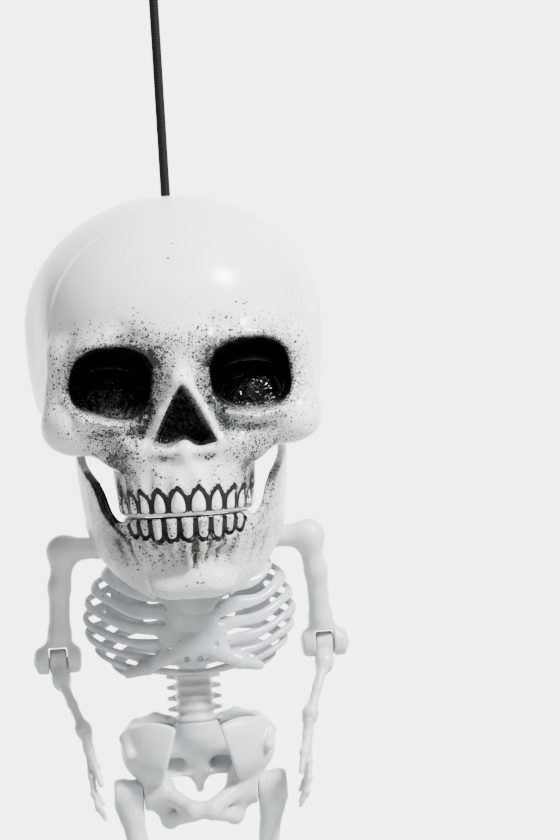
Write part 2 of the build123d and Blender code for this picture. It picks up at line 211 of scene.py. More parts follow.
class Field:
    """A grid of distances, negative inside the bone."""

    def __init__(self, low, high, step):
        self.step = step
        self.axes = [np.arange(a, b + step, step, dtype=np.float32)
                     for a, b in zip(low, high)]
        self.values = np.full([len(a) for a in self.axes], FAR, np.float32)

    def window(self, shape, pad):
        """The part of the grid near a shape, and its coordinates."""
        cuts = []
        for axis, a, b in zip(self.axes, shape.low - pad, shape.high + pad):
            i, j = np.searchsorted(axis, (a, b))
            cuts.append(slice(i, max(j, i)))
        x, y, z = [axis[c] for axis, c in zip(self.axes, cuts)]
        return tuple(cuts), x[:, None, None], y[None, :, None], z[None, None, :]

    def add(self, shapes, blend=0.0):
        """Joins shapes on, with fillets about as wide as blend."""
        for shape in shapes if isinstance(shapes, list) else [shapes]:
            cut, x, y, z = self.window(shape, blend + max(3 * self.step, 2.8))
            d = shape.distance(x, y, z).astype(np.float32)
            self.values[cut] = smooth_min(self.values[cut], d, blend)

    def cut(self, shapes, blend=0.0):
        """Takes shapes away, with edges rounded about as wide as blend."""
        for shape in shapes if isinstance(shapes, list) else [shapes]:
            cut, x, y, z = self.window(shape, blend + 3 * self.step)
            d = shape.distance(x, y, z).astype(np.float32)
            self.values[cut] = smooth_max(self.values[cut], -d, blend)

    def add_pair(self, shapes, blend=0.0):
        """Adds shapes given for the left, and their mirror images."""
        for shape in shapes if isinstance(shapes, list) else [shapes]:
            self.add([shape, flipped(shape)], blend)

    def cut_pair(self, shape, blend=0.0):
        self.cut([shape, flipped(shape)], blend)

    def mesh(self, name):
        points, quads, normals = surface_net(self)
        return new_piece(name, points, quads, normals)


def flipped(shape):
    """The shape's mirror image on the figure's other side."""
    low, high = shape.low.copy(), shape.high.copy()
    low[0], high[0] = -shape.high[0], -shape.low[0]
    return Shape(low, high, lambda x, y, z: shape.distance(-x, y, z))


def sample(values, at):
    """Trilinear values at fractional grid places, and the slope there."""
    cell = np.clip(np.floor(at).astype(int), 0, np.array(values.shape) - 2)
    f = at - cell
    i, j, k = cell.T
    u, v, w = f.T
    c = [values[i + a, j + b, k + c] for a in (0, 1) for b in (0, 1) for c in (0, 1)]
    c00, c01 = c[0] * (1 - u) + c[4] * u, c[1] * (1 - u) + c[5] * u
    c10, c11 = c[2] * (1 - u) + c[6] * u, c[3] * (1 - u) + c[7] * u
    c0, c1 = c00 * (1 - v) + c10 * v, c01 * (1 - v) + c11 * v
    gu = ((c[4] - c[0]) * (1 - v) + (c[6] - c[2]) * v) * (1 - w) \
        + ((c[5] - c[1]) * (1 - v) + (c[7] - c[3]) * v) * w
    gv = (c10 - c00) * (1 - w) + (c11 - c01) * w
    return c0 * (1 - w) + c1 * w, np.stack((gu, gv, c1 - c0), 1)


def surface_net(field):
    """Vertices on the zero level, one in each crossed cell, and their quads."""
    v = field.values
    inside = v < 0
    corners = [(a, b, c) for a in (0, 1) for b in (0, 1) for c in (0, 1)]
    nx, ny, nz = v.shape
    count = np.zeros((nx - 1, ny - 1, nz - 1), np.int8)
    for a, b, c in corners:
        count += inside[a:nx - 1 + a, b:ny - 1 + b, c:nz - 1 + c]
    cells = np.argwhere((count > 0) & (count < 8))
    total = np.zeros((len(cells), 3))
    hits = np.zeros(len(cells))
    for a in corners:
        for axis in range(3):
            if a[axis]:
                continue
            b = list(a)
            b[axis] = 1
            va = v[tuple((cells + a).T)]
            vb = v[tuple((cells + b).T)]
            crossed = (va < 0) != (vb < 0)
            t = np.where(crossed, va / np.where(crossed, va - vb, 1), 0)
            place = np.array(a, float) + t[:, None] * (np.array(b) - a)
            total += place * crossed[:, None]
            hits += crossed
    places = cells + total / hits[:, None]
    for _ in range(2):
        value, slope = sample(v, places)
        step = value[:, None] * slope / np.maximum((slope ** 2).sum(1), 1e-9)[:, None]
        places = places - np.clip(step, -0.3, 0.3)
    normals = sample_normals(v, places)
    number = np.full(count.shape, -1, np.int64)
    number[tuple(cells.T)] = np.arange(len(cells))
    quads = []
    for axis in range(3):
        one, two = [i for i in range(3) if i != axis]
        here = [slice(1, -1)] * 3
        here[axis] = slice(0, -1)
        there = list(here)
        there[axis] = slice(1, None)
        starts = inside[tuple(here)]
        crossing = np.argwhere(starts != inside[tuple(there)])
        out = starts[tuple(crossing.T)]
        base = crossing + 1
        base[:, axis] -= 1
        ring = []
        for d1, d2 in ((0, 0), (-1, 0), (-1, -1), (0, -1)):
            spot = base.copy()
            spot[:, one] += d1
            spot[:, two] += d2
            ring.append(number[tuple(spot.T)])
        ring = np.stack(ring, 1)
        if axis == 1:
            out = ~out
        ring[~out] = ring[~out][:, ::-1]
        quads.append(ring)
    low = np.array([a[0] for a in field.axes], float)
    return low + places * field.step, np.concatenate(quads), normals


def sample_normals(v, places):
    """The field's slope around each place, smoother than one cell's."""
    slope = np.zeros_like(places)
    for axis in range(3):
        shift = np.zeros(3)
        shift[axis] = 0.9
        ahead, _ = sample(v, places + shift)
        behind, _ = sample(v, places - shift)
        slope[:, axis] = ahead - behind
    return slope / np.maximum(np.linalg.norm(slope, axis=1), 1e-9)[:, None]


# ------------------------------------------------------------------- mesh making
def placed(name, data):
    """A new object in the scene."""
    thing = bpy.data.objects.new(name, data)
    bpy.context.scene.collection.objects.link(thing)
    return thing


def reshape(piece, change):
    """Changes a piece's mesh in bmesh and makes its faces look outward."""
    bm = bmesh.new()
    bm.from_mesh(piece.data)
    change(bm)
    bmesh.ops.recalc_face_normals(bm, faces=bm.faces)
    bm.to_mesh(piece.data)
    bm.free()


def new_piece(name, points, faces, normals=None):
    """A mesh object from points in the bones' millimetres."""
    mesh = bpy.data.meshes.new(name)
    spots = np.asarray(points, float).copy()
    spots[:, 2] += CROWN
    faces = np.asarray(faces, np.int32)
    size = faces.shape[1]
    mesh.vertices.add(len(spots))
    mesh.vertices.foreach_set("co", (spots * MM).astype(np.float32).ravel())
    mesh.loops.add(faces.size)
    mesh.loops.foreach_set("vertex_index", faces.ravel())
    mesh.polygons.add(len(faces))
    mesh.polygons.foreach_set("loop_start", np.arange(0, faces.size, size, dtype=np.int32))
    mesh.update(calc_edges=True)
    mesh.polygons.foreach_set("use_smooth", np.ones(len(faces), bool))
    if normals is not None:
        mesh.normals_split_custom_set_from_vertices(normals.astype(np.float32))
    return placed(name, mesh)


def points_of(piece):
    """A piece's points in the bones' millimetres."""
    spots = np.zeros(len(piece.data.vertices) * 3, np.float32)
    piece.data.vertices.foreach_get("co", spots)
    spots = spots.reshape(-1, 3).astype(float) / MM
    spots[:, 2] -= CROWN
    return spots


def paint(piece, **layers):
    """Stores smooth per-vertex numbers for the materials."""
    for name, numbers in layers.items():
        layer = piece.data.attributes.new(name, "FLOAT", "POINT")
        layer.data.foreach_set("value", np.asarray(numbers, np.float32))


def settle(piece, body, node, slot):
    """Puts a piece on its body in place of its CAD node, in its slot's finish."""
    piece.data.materials.append(FINISH[slot])
    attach(piece, body)
    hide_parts(node)


# --------------------------------------------------------------------- materials
class Nodes:
    """Short calls for wiring one material's nodes."""

    def __init__(self, name):
        self.material = bpy.data.materials.new(name)
        self.material.use_nodes = True
        self.tree = self.material.node_tree
        self.shader = self.tree.nodes["Principled BSDF"]
        self.coord = self.tree.nodes.new("ShaderNodeTexCoord").outputs["Object"]

    def put(self, socket, value):
        if isinstance(value, bpy.types.NodeSocket):
            self.tree.links.new(value, socket)
        elif value is not None:
            socket.default_value = value

    def math(self, kind, a, b=0.5, c=0.0, clamp=False):
        node = self.tree.nodes.new("ShaderNodeMath")
        node.operation, node.use_clamp = kind, clamp
        for socket, value in zip(node.inputs, (a, b, c)):
            self.put(socket, value)
        return node.outputs[0]

    def noise(self, size, detail=3.0, rough=0.55, distortion=0.0):
        """Noise with features of about the given size in millimetres."""
        node = self.tree.nodes.new("ShaderNodeTexNoise")
        self.put(node.inputs["Vector"], self.coord)
        node.inputs["Scale"].default_value = 1 / (size * MM)
        node.inputs["Detail"].default_value = detail
        node.inputs["Roughness"].default_value = rough
        node.inputs["Distortion"].default_value = distortion
        return node.outputs["Fac"]

    def cells(self, size):
        """Distance to scattered points in spacings, and a colour for each point."""
        node = self.tree.nodes.new("ShaderNodeTexVoronoi")
        self.put(node.inputs["Vector"], self.coord)
        node.inputs["Scale"].default_value = 1 / (size * MM)
        return node.outputs["Distance"], node.outputs["Color"]

    def attribute(self, name):
        node = self.tree.nodes.new("ShaderNodeAttribute")
        node.attribute_name = name
        return node.outputs["Fac"]

    def ramp(self, value, start, end):
        """A smooth rise from 0 at start to 1 at end; start may be the larger."""
        node = self.tree.nodes.new("ShaderNodeMapRange")
        node.interpolation_type = "SMOOTHSTEP"
        self.put(node.inputs["Value"], value)
        low, high = min(start, end), max(start, end)
        node.inputs["From Min"].default_value = low
        node.inputs["From Max"].default_value = high
        node.inputs["To Min"].default_value = 0.0 if start <= end else 1.0
        node.inputs["To Max"].default_value = 1.0 if start <= end else 0.0
        return node.outputs["Result"]

    def mix(self, share, a, b):
        node = self.tree.nodes.new("ShaderNodeMix")
        node.data_type = "RGBA"
        self.put(node.inputs[0], share)
        self.put(node.inputs[6], a)
        self.put(node.inputs[7], b)
        return node.outputs[2]

    def blend(self, share, a, b):
        node = self.tree.nodes.new("ShaderNodeMix")
        self.put(node.inputs[0], share)
        self.put(node.inputs[2], a)
        self.put(node.inputs[3], b)
        return node.outputs[0]

    def largest(self, *values):
        result = values[0]
        for value in values[1:]:
            result = self.math("MAXIMUM", result, value)
        return result

    def bump(self, height, depth, strength=1.0, under=None):
        """A bump of the given depth in millimetres."""
        node = self.tree.nodes.new("ShaderNodeBump")
        node.inputs["Strength"].default_value = strength
        node.inputs["Distance"].default_value = depth * MM
        self.put(node.inputs["Height"], height)
        if under is not None:
            self.put(node.inputs["Normal"], under)
        return node.outputs["Normal"]

    def speckle(self, size, density, reach):
        """Spray dots: more and larger where density is high."""
        distance, colour = self.cells(size)
        split = self.tree.nodes.new("ShaderNodeSeparateColor")
        self.put(split.inputs[0], colour)
        dot = self.times(split.outputs[1], reach)
        near = self.math("LESS_THAN", distance, dot)
        chosen = self.math("LESS_THAN", split.outputs[0], density)
        return self.times(near, chosen)

    def times(self, a, b):
        return self.math("MULTIPLY", a, b)

    def swing(self, noise, size):
        """Noise made to swing about nought, size from end to end."""
        return self.times(self.math("SUBTRACT", noise, 0.5), size)

    def set(self, **inputs):
        """Sets the shader's sockets; an underscore stands for a space."""
        for name, value in inputs.items():
            self.put(self.shader.inputs[name.replace("_", " ")], value)
        return self.material


def grey(level, warm=0.0):
    """A grey, warmed by raising its red and lowering its blue."""
    return (level + warm, level + warm * 0.5, level - warm, 1.0)


BLACK = (0.0025, 0.0022, 0.002, 1.0)
# colour of the brown wash: brown paint, and painted shade in creases, hollows and on the jaw's
# side away from the key lamp
BROWN = (0.030, 0.024, 0.017, 1.0)
PLASTIC_IOR = 1.47


def painted_bone(name, white, shade, rough, scatter):
    """Glossy moulded plastic with black spray dots, a brown wash, black sockets and inked teeth;
    dots and wash also give painted shade in creases and hollows.
    """
    n = Nodes(name)
    base = n.mix(n.ramp(n.noise(26, 2), 0.35, 0.7), white, shade)
    # density of the black spray dots; where it is raised in creases and hollows, the dots and the
    # wash it drives are painted shade
    soot = n.attribute("soot")
    patchy = n.times(soot, n.ramp(n.noise(3.4, 4, 0.62), 0.12, 0.6))
    dust = n.speckle(0.5, n.times(patchy, 0.85), 0.70)
    fine = n.speckle(0.8, n.times(patchy, 0.75), 0.64)
    medium = n.speckle(1.25, n.times(patchy, 0.45), 0.58)
    drops = n.speckle(2.1, n.math("MULTIPLY_ADD", soot, 0.30, 0.03), 0.30)
    # brown wash: brown paint fading above the sockets, plus painted shade in creases, hollows and
    # on the jaw's side away from the key lamp
    haze = n.times(n.attribute("rust"), n.ramp(n.noise(6, 4, 0.6), 0.1, 0.75))
    haze = n.math("MULTIPLY_ADD", patchy, 0.27, n.times(haze, 0.8), clamp=True)
    hole = n.attribute("hole")
    haze = n.largest(haze, n.times(n.ramp(hole, 3.4, -1.0), 0.85))
    colour = n.mix(haze, base, BROWN)
    dots = n.largest(dust, fine, medium, drops)
    colour = n.mix(n.times(dots, 0.93), colour, BLACK)
    wobble = n.swing(n.noise(2.4, 3), 2.3)
    ragged = n.swing(n.noise(0.9, 3, 0.7), 1.5)
    ink_at = n.math("ADD", n.attribute("ink"), n.math("ADD", wobble, ragged))
    ink = n.times(n.ramp(ink_at, 2.2, 1.75), n.ramp(n.attribute("ink"), -0.3, 0.05))
    grain = n.swing(n.noise(0.62, 3, 0.9), 11.0)
    soft = n.swing(n.noise(4.5, 3, 0.6), 4.0)
    sprayed = n.ramp(n.math("ADD", hole, n.math("ADD", grain, soft)), 0.7, -1.2)
    colour = n.mix(sprayed, colour, BLACK)
    colour = n.mix(ink, colour, BLACK)
    gloss = n.blend(n.noise(5, 3), rough - 0.04, rough + 0.05)
    gloss = n.blend(n.largest(sprayed, ink), gloss, 0.27)
    wet = n.attribute("wet")
    gloss = n.blend(wet, gloss, 0.10)
    crumple = n.noise(5.0, 2, 0.45, 1.5)
    normal = n.bump(n.times(crumple, wet), 4.6, 0.9)
    normal = n.bump(n.noise(1.6, 3), 0.03, 0.5, normal)
    normal = n.bump(ink, -0.12, 0.6, normal)
    return n.set(Base_Color=colour, Roughness=gloss, Normal=normal, IOR=PLASTIC_IOR,
                 Specular_IOR_Level=0.34, Subsurface_Weight=scatter,
                 Subsurface_Radius=(0.004, 0.0034, 0.003), Subsurface_Scale=0.6)


def milky_plastic(name, white, shade, rough, dirt=0.0):
    """Milky, slightly see-through plastic with faint mould texture and painted shade in crevices.
    """
    n = Nodes(name)
    cloud = n.ramp(n.noise(9, 3), 0.3, 0.7)
    colour = n.mix(cloud, white, shade)
    # painted shade: crevices turned grey by how closed-in they are
    pits = n.attribute("pit")
    colour = n.mix(n.times(n.ramp(pits, 0.0, 1.0), 0.55), colour, grey(0.36, 0.015))
    if dirt:
        dust = n.speckle(1.7, dirt, 0.26)
        colour = n.mix(n.times(dust, 0.8), colour, grey(0.05))
    gloss = n.blend(n.noise(4, 3), rough - 0.06, rough + 0.08)
    normal = n.bump(n.noise(2.2, 4, 0.6), 0.10, 0.55)
    return n.set(Base_Color=colour, Roughness=gloss, Normal=normal, IOR=PLASTIC_IOR,
                 Subsurface_Weight=0.55, Subsurface_Radius=(0.006, 0.0062, 0.0066),
                 Subsurface_Scale=0.7, Coat_Weight=0.15, Coat_Roughness=0.2)


def cord_fibre():
    """Black braided polyester: crossing strands as a fine relief."""
    n = Nodes("black_braid")
    fuzz = n.noise(0.35, 4, 0.7)
    colour = n.mix(fuzz, (0.001, 0.001, 0.001, 1), (0.007, 0.007, 0.0068, 1))
    normal = n.bump(n.noise(0.22, 3, 0.7), 0.08, 0.7)
    return n.set(Base_Color=colour, Roughness=0.75, Normal=normal,
                 Specular_IOR_Level=0.12, Sheen_Weight=0.03)


SKULL = painted_bone("skull_plastic", (0.84, 0.865, 0.88, 1), (0.77, 0.795, 0.80, 1), 0.22, 0.012)
JAW = painted_bone("jaw_plastic", (0.70, 0.705, 0.67, 1), (0.60, 0.605, 0.565, 1), 0.30, 0.015)
BODY = milky_plastic("body_plastic", (0.58, 0.60, 0.605, 1), (0.50, 0.52, 0.525, 1), 0.34)
RIBS = milky_plastic("rib_plastic", (0.52, 0.545, 0.56, 1), (0.42, 0.445, 0.46, 1), 0.24, 0.10)
PINS = milky_plastic("pin_plastic", (0.58, 0.60, 0.605, 1), (0.52, 0.54, 0.545, 1), 0.30)
FINISH = {
    "skull_plastic": SKULL, "skull_base_plastic": SKULL, "jaw_plastic": JAW,
    "body_plastic": BODY, "rib_plastic": RIBS, "pin_plastic": PINS,
    "washer_plastic": PINS, "black_cord": cord_fibre(),
}


# ------------------------------------------------------------------- skull facts
VAULT = np.array((60.0, 67.5, 51.0))             # half sizes of the vault
VAULT_Z = -51.0
TEETH_LINE = -126.8                              # where the closed teeth meet
EYE = np.array((27.7, -52.0, -73.8))             # middle of the left socket
NOSE_TOP, NOSE_FLOOR = -76.2, -98.8
FILM, FILM_SIZE = (28.5, -31.5, -79.5), (14.5, 11.0, 9.5)    # crumpled film in a socket
ARCH_Y = -28.0                                   # centre of the tooth arches
UPPER_ARCH = (26.5, 29.0)                        # half width and depth
LOWER_ARCH = (25.6, 28.0)
CORD_HOLE = 2.35


def arch_place(x, y, arch):
    """Way round a tooth arch from the middle in mm, and distance outside it."""
    a, b = arch
    angle = np.arctan2(x / a, -(y - ARCH_Y) / b)
    turns = np.linspace(-math.pi, math.pi, 721)
    pace = np.hypot(a * np.cos(turns), b * np.sin(turns))
    way = np.cumsum(pace) * (turns[1] - turns[0])
    way -= np.interp(0, turns, way)
    return np.interp(angle, turns, way), ellipsoid((x, y - ARCH_Y), arch)


def upper_teeth():
    """Middle, half width, foot and tip of each upper tooth, along the arch."""
    way, teeth = 0.0, []
    for width, tall in ((8.0, 8.5), (7.0, 8.2), (6.6, 7.9), (6.3, 7.5), (6.0, 7.0), (5.8, 6.5)):
        way += width / 2
        for side in (1, -1):
            teeth.append((side * way, width / 2 - 1.25, TEETH_LINE + 1.4, tall))
        way += width / 2
    return teeth


def lower_teeth():
    way, teeth = 0.0, [(-0.8, 2.4, TEETH_LINE - 0.7, 8.6)]
    for width, tall in ((6.4, 8.6), (6.2, 8.8), (5.6, 7.0), (5.2, 6.2)):
        for side in (1, -1):
            middle = side * (3.2 + way + width / 2) - 0.8
            teeth.append((middle, width / 2 - 0.95, TEETH_LINE - 0.7, tall))
        way += width
    return teeth


def tooth_outline(way, z, teeth, upward):
    """Distance to the nearest tooth's outline: pointed above, a U below."""
    nearest = np.full(np.broadcast(way, z).shape, 20.0)
    for middle, half, foot, tall in teeth:
        s = np.abs(way - middle)
        up = (z - foot) * upward
        if upward > 0:
            start = tall * 0.30
            bow = (half ** 2 + (tall - start) ** 2) / (2 * half)
            arc = np.hypot(s + bow - half, np.maximum(up - start, 0)) - bow
            d = smooth_max(arc, -up, 1.2)
        else:
            slim = half * (1 - 0.24 * np.clip(up / tall, 0, 1))
            arc = np.hypot(s, np.maximum(up - (tall - half), 0)) - slim
            d = smooth_max(arc, -up, 0.9)
        nearest = np.minimum(nearest, d)
    return nearest


def tooth_wall(teeth, upward, arch, low, high, wall, flare=0.0):
    """A tooth arch's wall with raised teeth and a groove round each."""
    a, b = arch

    def distance(x, y, z):
        wider = flare * np.maximum(upward * (z - TEETH_LINE), 0)
        way, out = arch_place(x, y, arch)
        outline = tooth_outline(way, z, teeth, upward)
        rise = 1.0 * smooth_step(0.25, -1.7, outline)
        groove = 0.45 * np.exp(-((outline - 0.45) / 0.5) ** 2)
        front = out - wider - rise + groove
        back = -(out + wall)
        ends = np.maximum(low - z, z - high)
        return smooth_max(smooth_max(front, back, 1.0), ends, 1.2)

    reach = 3.0
    return Shape((-a - reach, ARCH_Y - b - reach, low - 0.5),
                 (a + reach, ARCH_Y + 6, high + 0.5), distance)


def post(outline, low, high, back, depth_soft):
    """A hole running from the front back to a depth, with a given outline."""

    def distance(x, y, z):
        return smooth_max(outline(x, y, z), y - back, depth_soft)

    return Shape(low, high, distance)


def nose_outline(x, z):
    """Distance outside the nose's opening, seen from the front."""
    share = np.clip((NOSE_TOP - z) / (NOSE_TOP - NOSE_FLOOR), 0, 1)
    half = 1.0 + 12.0 * share ** 0.86
    notch = 1.9 * np.exp(-(x / 3.4) ** 2) - 1.0 * np.exp(-((np.abs(x) - 6.8) / 3.0) ** 2)
    floor = NOSE_FLOOR + notch
    sides = (np.abs(x) - half) * 0.9
    return smooth_max(smooth_max(sides, floor - z, 1.6), z - NOSE_TOP - 0.8, 1.5)


def eye_outline(x, z, side):
    """Distance outside an eye socket's opening: a slanted rounded square."""
    u = (x * side - EYE[0])
    v = z - EYE[2] + (0.4 if side < 0 else -0.4)
    tilt = math.radians(-9 if side < 0 else -5)
    u, v = u * math.cos(tilt) - v * math.sin(tilt), u * math.sin(tilt) + v * math.cos(tilt)
    tall = 14.0 + (0.9 * u / 16 if side > 0 else -1.3 * u / 16)
    k = (np.abs(u / 16.3) ** 2.5 + np.abs(v / tall) ** 2.5) ** (1 / 2.5)
    return (k - 1) * 13.0


# ------------------------------------------------------------------ the cranium
def skull_field():
    """The vault, the face and the upper teeth."""
    f = Field((-62, -73, -131), (62, 69, 2), SKULL_STEP)
    f.add(egg((0, 15, -50.6), (58.3, 52, 48.5)))
    f.add(egg((0, -17.5, -51.1), (55.4, 48.8, 48.2)), 26)
    side = [
        (egg((43.5, 1, -73), (14.6, 38, 25)), 10),
        (egg((22, -51, -58.8), (19.5, 12.5, 7.0), turn(0, 8, -18)), 7),
        (rod((44.5, -41, -62), (46, -40.5, -85), 7.3, 6.3), 7),
        (egg((41.5, -40, -90.5), (12.8, 13, 11), turn(0, 0, -20)), 6),
        (egg((20.5, -45, -95.5), (15.5, 13, 13.5)), 7),
        (rod((14, -51, -86), (17.5, -52, -99), 6.0, 6.0), 6),
        (slab((46.5, -20, -85.5), (4.4, 23, 11), turn(-6, -4, 3), 3.4), 8),
        (rod((30, -50, -87.5), (44, -45, -88), 4.6, 5.0), 4.5),
    ]
    for shape, blend in side:
        f.add_pair(shape, blend)
    f.add(egg((0, -57.5, -60), (13, 8.0, 9)), 8)
    f.add(rod((0, -59, -64), (0, -65.3, -75.4), 5.0, 4.4), 5)
    f.add(slab((0, -30, -102), (22, 24, 17), None, 9), 7)
    # the pinched rim of the nose and the spine under it
    nose_rim = [(0.6, -66.2, -74.2), (7.4, -60.8, -86.6), (13.8, -56, -98.6)]
    f.add_pair(path_rods(nose_rim, (3.2, 2.9, 2.3)), 1.8)
    f.add_pair(rod((13.6, -56.2, -99.2), (6.2, -57.6, -101.8), 2.1, 2.4), 2.5)
    f.add(egg((0, -58.2, -101.2), (3.6, 3.2, 4.4)), 2.5)
    teeth = tooth_wall(upper_teeth(), 1, UPPER_ARCH, TEETH_LINE + 0.9, -101.6, 14, flare=0.12)
    f.add(teeth, 3.0)
    lip = tooth_wall([], 1, LOWER_ARCH, TEETH_LINE + 0.05, TEETH_LINE + 1.7, 12)
    f.add(lip, 0.6)
    for s in (1, -1):
        for k, (size, high) in enumerate(((1.7, 7), (1.6, 8), (2.9, 14), (2.0, 9), (2.0, 7))):
            angle = s * (4.2 + 7.3 * k) / 27.6
            root = (27.0 * math.sin(angle), ARCH_Y - 29.4 * math.cos(angle))
            f.add(rod((*root, -116), (*root, -116 + high), size, size * 0.7), 2.8)
    f.cut_pair(egg((7.6, -61.6, -106.4), (4.6, 3.4, 4.2)), 3)
    # the hollow behind the cheeks, under the side walls
    f.cut_pair(egg((37.5, -19, -97), (9.5, 17, 17), turn(0, 12, 0)), 5)
    f.cut_pair(slab((48, -8, -104), (16, 30, 9.5), turn(34, 0, 0), 2.0), 2.5)
    # the rim under the sockets, the crease below it and the brow's notch
    eye_rim = [(12.6, -58, -80.5), (17.5, -59.0, -86), (28, -57.6, -89.2), (38.5, -52.8, -87),
               (44.5, -47.5, -79)]
    f.add_pair(path_rods(eye_rim, (2.0, 2.6, 2.9, 2.9, 2.6)), 2.2)
    f.cut_pair(rod((16, -60.5, -93.5), (39, -56.0, -94), 3.1, 2.6), 3.2)
    f.cut(rod((-24, -65.2, -52.5), (-17, -66.4, -57), 2.7, 2.2), 4.5)
    f.cut(rod((14, -66.5, -53), (20, -65.2, -52), 2.2, 1.8), 4)
    # the temple, the line above it and the hollow beside the nose's foot
    f.cut_pair(egg((74, -25, -66), (13, 25, 20)), 13)
    f.cut_pair(egg((78.6, -29, -47), (18, 24, 34)), 13)
    f.cut_pair(egg((33, -57.5, -101), (7.5, 6.5, 7)), 5)
    for s in (1, -1):
        reach = sorted((s * (EYE[0] - 19), s * (EYE[0] + 19)))
        f.cut(post(lambda x, y, z, s=s: eye_outline(x, z, s) + 0.10 * (y + 56),
                   (reach[0], -75, EYE[2] - 19), (reach[1], -27, EYE[2] + 19), -29, 9), 2.6)
    # the crumpled film in the lower half of each socket
    f.add_pair(egg(FILM, FILM_SIZE), 3)
    f.cut(post(lambda x, y, z: nose_outline(x, z), (-17, -75, -106), (17, -41, -72), -43, 3), 1.1)
    # everything below the vault's edge, and the cord's hole
    recess = egg((0, 0, VAULT_Z), VAULT - 1.0)
    under = slab((0, 35, -104), (70, 55, 20), None, 1.0)

    def below(x, y, z):
        return np.maximum(recess.distance(x, y, z), under.distance(x, y, z))

    f.cut(Shape((-60, -20, -104), (60, 68, -83), below), 0.8)
    f.cut(under, 1.0)
    f.cut(rod((0, 0, 4), (0, 0, -30), CORD_HOLE), 0.8)
    return f


def make_cranium():
    """The skull's shell, painted round its sockets, nose and teeth, with painted shade in its
    creases and hollows.
    """
    skull = skull_field().mesh("cranium")
    x, y, z = points_of(skull).T
    way, out = arch_place(x, y, UPPER_ARCH)
    ink = tooth_outline(way, z, upper_teeth(), 1)
    band = (z < TEETH_LINE + 17) & (np.abs(out) < 5) & (y < -20)
    ink = np.where(band, ink, 9.0)
    ink = np.where(z < TEETH_LINE + 1.15, 9.0, ink)
    front = y < -24
    off = np.abs(x)
    edge = np.where(x > 0, eye_outline(x, z, 1), eye_outline(x, z, -1))
    fade_from = np.where(x > 0, -82.0, -79.5)
    eyes = smooth_max(edge, (fade_from - z) * 0.62 - 2.2, 1.0)
    inner_top = np.exp(-((off - 18) / 9) ** 2 - ((z + 60) / 5) ** 2)
    wall = smooth_step(0.7, 0.1, edge + 0.10 * (y + 56)) * smooth_step(-86, -76, z)
    eyes = eyes - 2.2 * inner_top - 0.45 * wall * np.clip(y + 55, 0, 14)
    eyes = np.where(front, np.maximum(eyes, -9), 9.0)
    nose = np.where((y < -38) & (z < -71), nose_outline(x, z) + 0.9, 9.0)
    nose = np.where(y > -56.5 + 0.02 * z, nose, np.maximum(nose, 1.0))

    def spot(middle, wide, height, tall):
        """A soft patch on each side, middle from the face's centre line."""
        return np.exp(-((off - middle) / wide) ** 2 - ((z - height) / tall) ** 2)

    near_eye = 1.35 * np.exp(-np.clip(edge, 0, 60) / 3.9)
    # notch, crease and the spots at the glabella, under the nostrils and under the cheeks add
    # dots, which are spray paint, and darkening, which is painted shade in these recesses
    notch = np.exp(-((x + 20) / 4.5) ** 2 - ((z + 56) / 3.0) ** 2)
    crease = spot(27, 11, -93.6, 2.0)
    side_gum = spot(25.5, 5.2, -112, 9)
    soot = near_eye + 2.4 * spot(12.5, 5.0, -71, 11) + 2.3 * spot(16, 5.0, -88, 9)
    soot = soot + 0.6 * spot(0, 14, -61, 6) + 1.0 * spot(30, 10, -101, 6) + 2.0 * side_gum
    soot = soot + 1.3 * spot(8, 4.6, -103.6, 1.8) + 0.9 * crease + 0.6 * notch
    soot = soot + 0.6 * spot(12, 2.2, -110, 3.5) + 0.05 * np.exp(-((z + 58) / 10) ** 2)
    soot = soot + 1.1 * np.exp(-np.clip(ink - 1.0, 0, 9) / 1.5) * band * (ink > 0.4)
    rim = np.exp(-((nose_outline(x, z) - 2.1) / 1.5) ** 2) * (z < -73)
    soot = np.where(front, soot * (1 - 0.93 * rim), 0.0)
    # painted shade: the hollow behind the cheeks, under the side walls, darkened with dots and the
    # brown wash
    hollow = np.exp(-((off - 38) / 7) ** 2 - ((y + 18) / 16) ** 2) * (z < -84)
    soot = np.clip(soot + 0.6 * hollow, 0, 2.4)
    # brown wash: brown paint fading above the sockets, and painted shade in the notch, crease,
    # glabella, under the nostrils and cheeks and in the hollows
    above = smooth_step(-74, -64, z) * np.exp(-np.clip(edge - 0.2, 0, 30) / 2.6)
    rust = above + 1.2 * notch + 1.1 * spot(8, 5.0, -103.8, 2.2) + 0.8 * crease
    rust = rust + 0.4 * spot(0, 14, -61, 6) + 0.4 * spot(30, 10, -102, 7) + 0.9 * side_gum
    rust = rust + 0.6 * spot(15, 5.0, -87, 9) + 0.5 * spot(12.5, 5, -71, 10)
    rust = np.where(front, rust * (1 - 0.9 * rim), 0.0) + 0.9 * hollow
    film = sum(((v - c) / (r * 1.08)) ** 2 for v, c, r in zip((off, y, z), FILM, FILM_SIZE))
    wet = smooth_step(1.35, 0.95, film) + (nose < -1)
    smear = np.where(front, 8.6 - 9.4 * spot(27.2, 3.8, -113, 8.5), 9.0)
    hole = np.minimum(np.minimum(eyes, nose), smear)
    paint(skull, ink=ink, hole=hole, soot=soot,
          rust=np.clip(rust, 0, 1), wet=np.clip(wet, 0, 1))
    settle(skull, "head", "cranium_shell", "skull_plastic")


